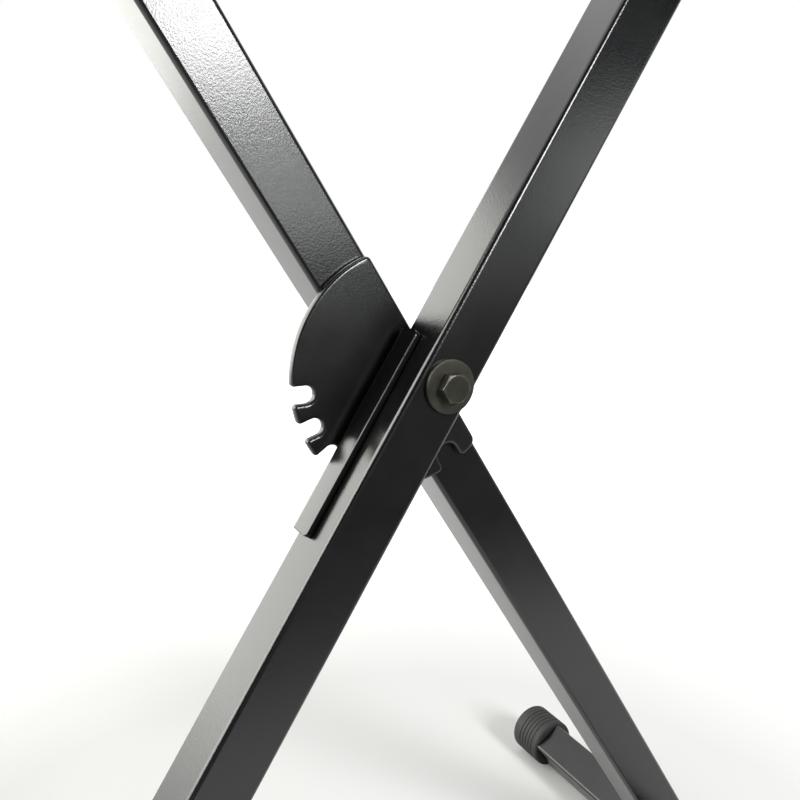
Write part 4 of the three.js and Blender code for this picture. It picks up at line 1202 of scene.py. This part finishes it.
def washer_mesh(name, inner, outer, near, far):
    """A stamped washer: a rolled outer edge on one side and a sharper one on the other."""
    e = 0.4 * MM
    profile = [(inner, near + 0.15 * MM), (inner + 0.15 * MM, near), (outer - 1.6 * MM, near),
               (outer - e, near), (outer - e * 0.3, near + e * 0.3), (outer, near + e),
               (outer, far - e * 0.6), (outer - e * 0.6, far), (inner + 0.15 * MM, far),
               (inner, far - 0.15 * MM)]
    mesh = lathe_mesh(name, profile, 128)
    edge = mesh.attributes.new("edge", "FLOAT", "POINT")
    weights = [0.3, 0.2, 0.06, 0.35, 0.6, 0.55, 0.35, 0.5, 0.15, 0.3]
    edge.data.foreach_set("value", [w for w in weights for _ in range(128)])
    return mesh


def add_bush(places):
    """The steel bush inside a leg tube that the bolt squeezes."""
    wall, side = frame_sizes().tube_wall, frame_sizes().tube_side
    near, far = places.near + wall + FIT_GAP, places.near + side - wall - FIT_GAP
    mesh = lathe_mesh("bush", [(BORE_RADIUS, near), (6.5 * MM, near), (6.7 * MM, near + 0.2 * MM),
                               (6.7 * MM, far - 0.2 * MM), (6.5 * MM, far), (BORE_RADIUS, far)], 48)
    node = f"{places.name}_pivot_bush"
    dressed(f"{node}_steel", mesh, places.body, "zinc_steel", [node], places.matrix)


# ------------------------------------------------------------------ operators

class StandOperator:
    """What every operator of the stand shares."""

    bl_options = {"REGISTER", "UNDO"}


class STAND_OT_legs(StandOperator, bpy.types.Operator):
    """Build both leg tubes, with the bolt holes and the lock's slots"""

    bl_idname = "stand.legs"
    bl_label = "Leg Tubes"

    def execute(self, context):
        front, rear = LegPlaces("front"), LegPlaces("rear")
        add_leg_tube(front, [pin_slot(26 * MM, 33 * MM), stem_slot(front)])
        add_leg_tube(rear)
        return {"FINISHED"}


class STAND_OT_bars(StandOperator, bpy.types.Operator):
    """Build the foot bars and the arm bars, with their gussets and weld beads"""

    bl_idname = "stand.bars"
    bl_label = "Cross Bars"

    def execute(self, context):
        sizes = context.scene.stand_frame_sizes
        for places in (LegPlaces("front"), LegPlaces("rear")):
            for kind, bar, along, up in (("foot", sizes.foot_bar, places.foot, 1),
                                         ("arm", sizes.arm_bar, places.arm, -1)):
                add_cross_bar(places, f"{places.name}_{kind}_bar", bar, along)
                add_gusset(places, f"{places.name}_{kind}_gusset", along, up)
                add_weld(places, f"{places.name}_{kind}_weld", along, up)
        return {"FINISHED"}


class STAND_OT_rubber(StandOperator, bpy.types.Operator):
    """Build the foot caps, the arm caps and the arm sleeves"""

    bl_idname = "stand.rubber"
    bl_label = "Caps and Sleeves"

    def execute(self, context):
        for places in (LegPlaces("front"), LegPlaces("rear")):
            for end in ("front", "back"):
                add_end_cap(places, "foot", end, places.foot)
                add_end_cap(places, "arm", end, places.arm)
                add_sleeve(places, end, places.arm)
        return {"FINISHED"}


class STAND_OT_plate(StandOperator, bpy.types.Operator):
    """Build the notched plate on the rear leg"""

    bl_idname = "stand.plate"
    bl_label = "Notched Plate"

    def execute(self, context):
        add_notch_plate(LegPlaces("rear"))
        return {"FINISHED"}


class STAND_OT_saddle(StandOperator, bpy.types.Operator):
    """Build the pressed saddle on the front leg"""

    bl_idname = "stand.saddle"
    bl_label = "Saddle Bracket"

    def execute(self, context):
        add_saddle(LegPlaces("front"))
        return {"FINISHED"}


class STAND_OT_pivot(StandOperator, bpy.types.Operator):
    """Build the pivot bolt, its washers, spacer, nut and bushes"""

    bl_idname = "stand.pivot"
    bl_label = "Pivot Bolt"

    def execute(self, context):
        add_pivot(LegPlaces("front"))
        add_bush(LegPlaces("front"))
        add_bush(LegPlaces("rear"))
        return {"FINISHED"}


class STAND_OT_lock(StandOperator, bpy.types.Operator):
    """Build the lock bar, pin, guides, spring and pull"""

    bl_idname = "stand.lock"
    bl_label = "Height Lock"

    def execute(self, context):
        add_lock(LegPlaces("front"))
        return {"FINISHED"}


class STAND_OT_stage(StandOperator, bpy.types.Operator):
    """Set up the pale floor, the soft lights, the white surroundings and the camera"""

    bl_idname = "stand.stage"
    bl_label = "Studio"

    def execute(self, context):
        add_floor()
        add_lights()
        add_world(context.scene)
        add_camera(context.scene)
        context.scene.view_settings.view_transform = "Standard"
        return {"FINISHED"}


# ------------------------------------------------------------------ studio

WHITE = (1, 1, 1, 1)
COOL = (0.95, 1.0, 1.0)
WARM = (1.0, 1.0, 0.94)


def stage_plane(name, corners, material):
    """A flat stage piece."""
    mesh = bpy.data.meshes.new(name)
    mesh.from_pydata(corners, [], [tuple(range(len(corners)))])
    mesh.materials.append(material)
    piece = bpy.data.objects.new(name, mesh)
    bpy.context.scene.collection.objects.link(piece)
    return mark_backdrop(piece) or piece


def add_floor():
    """A pale floor that keeps the stand's shadow and fades to the white of the surroundings."""
    material = bpy.data.materials.new("studio_floor")
    material.use_nodes = True
    tree = material.node_tree
    shader = tree.nodes["Principled BSDF"].inputs
    shader["Base Color"].default_value = (0.8, 0.8, 0.79, 1)
    shader["Roughness"].default_value = 0.9
    shader["Specular IOR Level"].default_value = 0.1
    shader["Emission Color"].default_value = WHITE
    ray = put(tree, "ShaderNodeLightPath").outputs
    place = put(tree, "ShaderNodeTexCoord").outputs["Object"]
    spread = put(tree, "ShaderNodeVectorMath", {0: place}, operation="LENGTH").outputs["Value"]
    seen = maths(tree, "MULTIPLY", ray["Is Camera Ray"], ramp(tree, spread, 0.45, 1.3, 0.08, 1.0))
    behind = maths(tree, "MULTIPLY_ADD", part_of(tree, place, "X"), -0.6, part_of(tree, place, "Y"))
    mirrored = maths(tree, "MULTIPLY", ray["Is Glossy Ray"], ramp(tree, behind, 0.0, 0.5, 0.0, 0.68))
    tree.links.new(maths(tree, "ADD", seen, mirrored), shader["Emission Strength"])
    r = 6.0
    stage_plane("studio_floor", [(-r, -r, 0), (r, -r, 0), (r, r, 0), (-r, r, 0)], material)


def add_light(name, place, aim, size, radiance, tint=(1.0, 1.0, 1.0)):
    """A soft box: a rectangular lamp aimed at a point, with its radiance."""
    lamp = bpy.data.lights.new(name, "AREA")
    lamp.shape = "RECTANGLE"
    lamp.size, lamp.size_y = size
    lamp.energy = radiance * size[0] * size[1] * math.pi
    lamp.color = tint
    box = bpy.data.objects.new(name, lamp)
    bpy.context.scene.collection.objects.link(box)
    place, aim = Vector(place), Vector(aim)
    turn = (aim - place).to_track_quat("-Z", "Y").to_matrix().to_4x4()
    box.matrix_world = Matrix.Translation(place) @ turn
    box.visible_camera = False
    return box


def add_lights():
    """The key box above the camera, two low strips, the top box, the one behind and a sheen from the left."""
    add_light("key_box", (0.4, -1.6, 1.2), (0, 0, 0.5), (0.46, 0.7), 28.0)
    add_light("front_strip", (0.6, -1.7, 0.62), (0, 0, 0.55), (0.5, 0.26), 5.5, COOL)
    add_light("side_strip", (1.85, -1.6, 0.72), (0, 0, 0.5), (0.9, 0.4), 2.4, COOL)
    add_light("top_box", (0.0, 0.6, 2.3), (0, 0, 0.3), (2.0, 2.0), 0.7)
    add_light("back_box", (-1.9, 2.6, 1.3), (0, 0, 0.45), (4.2, 2.6), 3.3, WARM)
    sheen = add_light("left_box", (-2.3, 0.45, 1.55), (0, 0, 0.45), (2.1, 2.4), 6.5, WARM)
    sheen.visible_diffuse = False
    add_card()


def add_card():
    """A card that only the coat's reflections see: it stands in front and runs on over the floor."""
    material = bpy.data.materials.new("studio_card")
    material.use_nodes = True
    tree = material.node_tree
    tree.nodes.clear()
    place = put(tree, "ShaderNodeTexCoord").outputs["Object"]
    lift = ramp(tree, part_of(tree, place, "Z"), 0.38, 0.5, 0.15, 0.85)
    near = ramp(tree, part_of(tree, place, "Y"), -0.62, -0.42, 0.0, 0.8)
    glow = put(tree, "ShaderNodeEmission", {"Color": WHITE, "Strength": maths(tree, "ADD", lift, near)})
    out = put(tree, "ShaderNodeOutputMaterial")
    tree.links.new(glow.outputs[0], out.inputs["Surface"])
    left, right, front, back, low = -0.6, 1.4, -0.62, -0.24, 0.004
    rise, run = [(right, front, 0.54), (left, front, 0.49)], [(right, back, low), (left, back, low)]
    for name, far in (("card_upright", rise), ("card_floor", run)):
        corners = [(left, front, low), (right, front, low), *far]
        card = stage_plane(name, corners, material)
        card.visible_camera = False
        card.visible_diffuse = False
        card.visible_shadow = False


def add_world(scene):
    """White surroundings to the camera and behind the stand, and a dim room in front for reflections."""
    world = bpy.data.worlds.new("studio_world")
    world.use_nodes = True
    scene.world = world
    tree = world.node_tree
    tree.nodes.clear()
    ray = put(tree, "ShaderNodeLightPath").outputs
    way = put(tree, "ShaderNodeTexCoord").outputs["Generated"]
    room = ramp(tree, part_of(tree, way, "Y"), -0.4, -0.05, 0.06, 1.0)
    mirrored = maths(tree, "MULTIPLY", ray["Is Glossy Ray"], room)
    seen = maths(tree, "MAXIMUM", ray["Is Camera Ray"], ray["Is Transmission Ray"])
    fill = maths(tree, "MULTIPLY", ray["Is Diffuse Ray"], 0.32)
    strength = maths(tree, "MAXIMUM", maths(tree, "MAXIMUM", seen, mirrored), fill)
    white = put(tree, "ShaderNodeBackground", {"Color": WHITE, "Strength": strength})
    out = put(tree, "ShaderNodeOutputWorld")
    tree.links.new(white.outputs[0], out.inputs["Surface"])


def add_camera(scene):
    """The camera of the photograph's view: close in front, to the left of and a little above the bolt."""
    yaw, pitch, roll = (math.radians(turn) for turn in CAMERA_TURN)
    forward = Vector((math.sin(yaw) * math.cos(pitch), math.cos(yaw) * math.cos(pitch), math.sin(pitch)))
    right = Vector((math.cos(yaw), -math.sin(yaw), 0))
    up = right.cross(forward)
    right, up = (right * math.cos(roll) + up * math.sin(roll), up * math.cos(roll) - right * math.sin(roll))
    front_face = -(2 * frame_sizes().tube_side + LEG_GAP) / 2
    place = Vector(CAMERA_PLACE) + Vector((0, front_face, BOLT_HEIGHT))
    data = bpy.data.cameras.new("photo_camera")
    data.sensor_fit = "HORIZONTAL"
    data.sensor_width = SENSOR_WIDTH
    data.lens = FOCAL_PIXELS * SENSOR_WIDTH / FRAME_PIXELS
    data.clip_start = 0.01
    data.clip_end = 50
    camera = bpy.data.objects.new("photo_camera", data)
    scene.collection.objects.link(camera)
    turn = Matrix((right, up, -forward)).transposed().to_4x4()
    camera.matrix_world = Matrix.Translation(place) @ turn
    scene.camera = camera


# ------------------------------------------------------------------ panel and registration

class STAND_PT_panel(bpy.types.Panel):
    """The stand's sizes, finishes and builders"""

    bl_label = "Keyboard Stand"
    bl_space_type = "VIEW_3D"
    bl_region_type = "UI"
    bl_category = "Keyboard Stand"

    def draw(self, context):
        for group in GROUPS:
            holder = getattr(context.scene, group)
            box = self.layout.box()
            for name in holder.bl_rna.properties.keys():
                if name not in ("rna_type", "name"):
                    box.prop(holder, name)
        for operator in OPERATORS:
            self.layout.operator(operator.bl_idname)


OPERATORS = (STAND_OT_legs, STAND_OT_bars, STAND_OT_rubber, STAND_OT_plate, STAND_OT_saddle,
             STAND_OT_pivot, STAND_OT_lock, STAND_OT_stage)
GROUPS = {"stand_frame_sizes": StandFrameSizes, "stand_lock_sizes": StandLockSizes,
          "stand_rubber_sizes": StandRubberSizes, "stand_finishes": StandFinishes}


def register():
    for name, group in GROUPS.items():
        bpy.utils.register_class(group)
        setattr(bpy.types.Scene, name, bpy.props.PointerProperty(type=group))
    for operator in OPERATORS:
        bpy.utils.register_class(operator)
    bpy.utils.register_class(STAND_PT_panel)


def unregister():
    bpy.utils.unregister_class(STAND_PT_panel)
    for operator in reversed(OPERATORS):
        bpy.utils.unregister_class(operator)
    for name, group in reversed(GROUPS.items()):
        delattr(bpy.types.Scene, name)
        bpy.utils.unregister_class(group)


def main():
    register()
    for build in (bpy.ops.stand.legs, bpy.ops.stand.bars, bpy.ops.stand.rubber, bpy.ops.stand.plate,
                  bpy.ops.stand.saddle, bpy.ops.stand.pivot, bpy.ops.stand.lock, bpy.ops.stand.stage):
        if build() != {"FINISHED"}:
            raise RuntimeError(f"{build} did not finish")


if __name__ == "__main__":
    main()
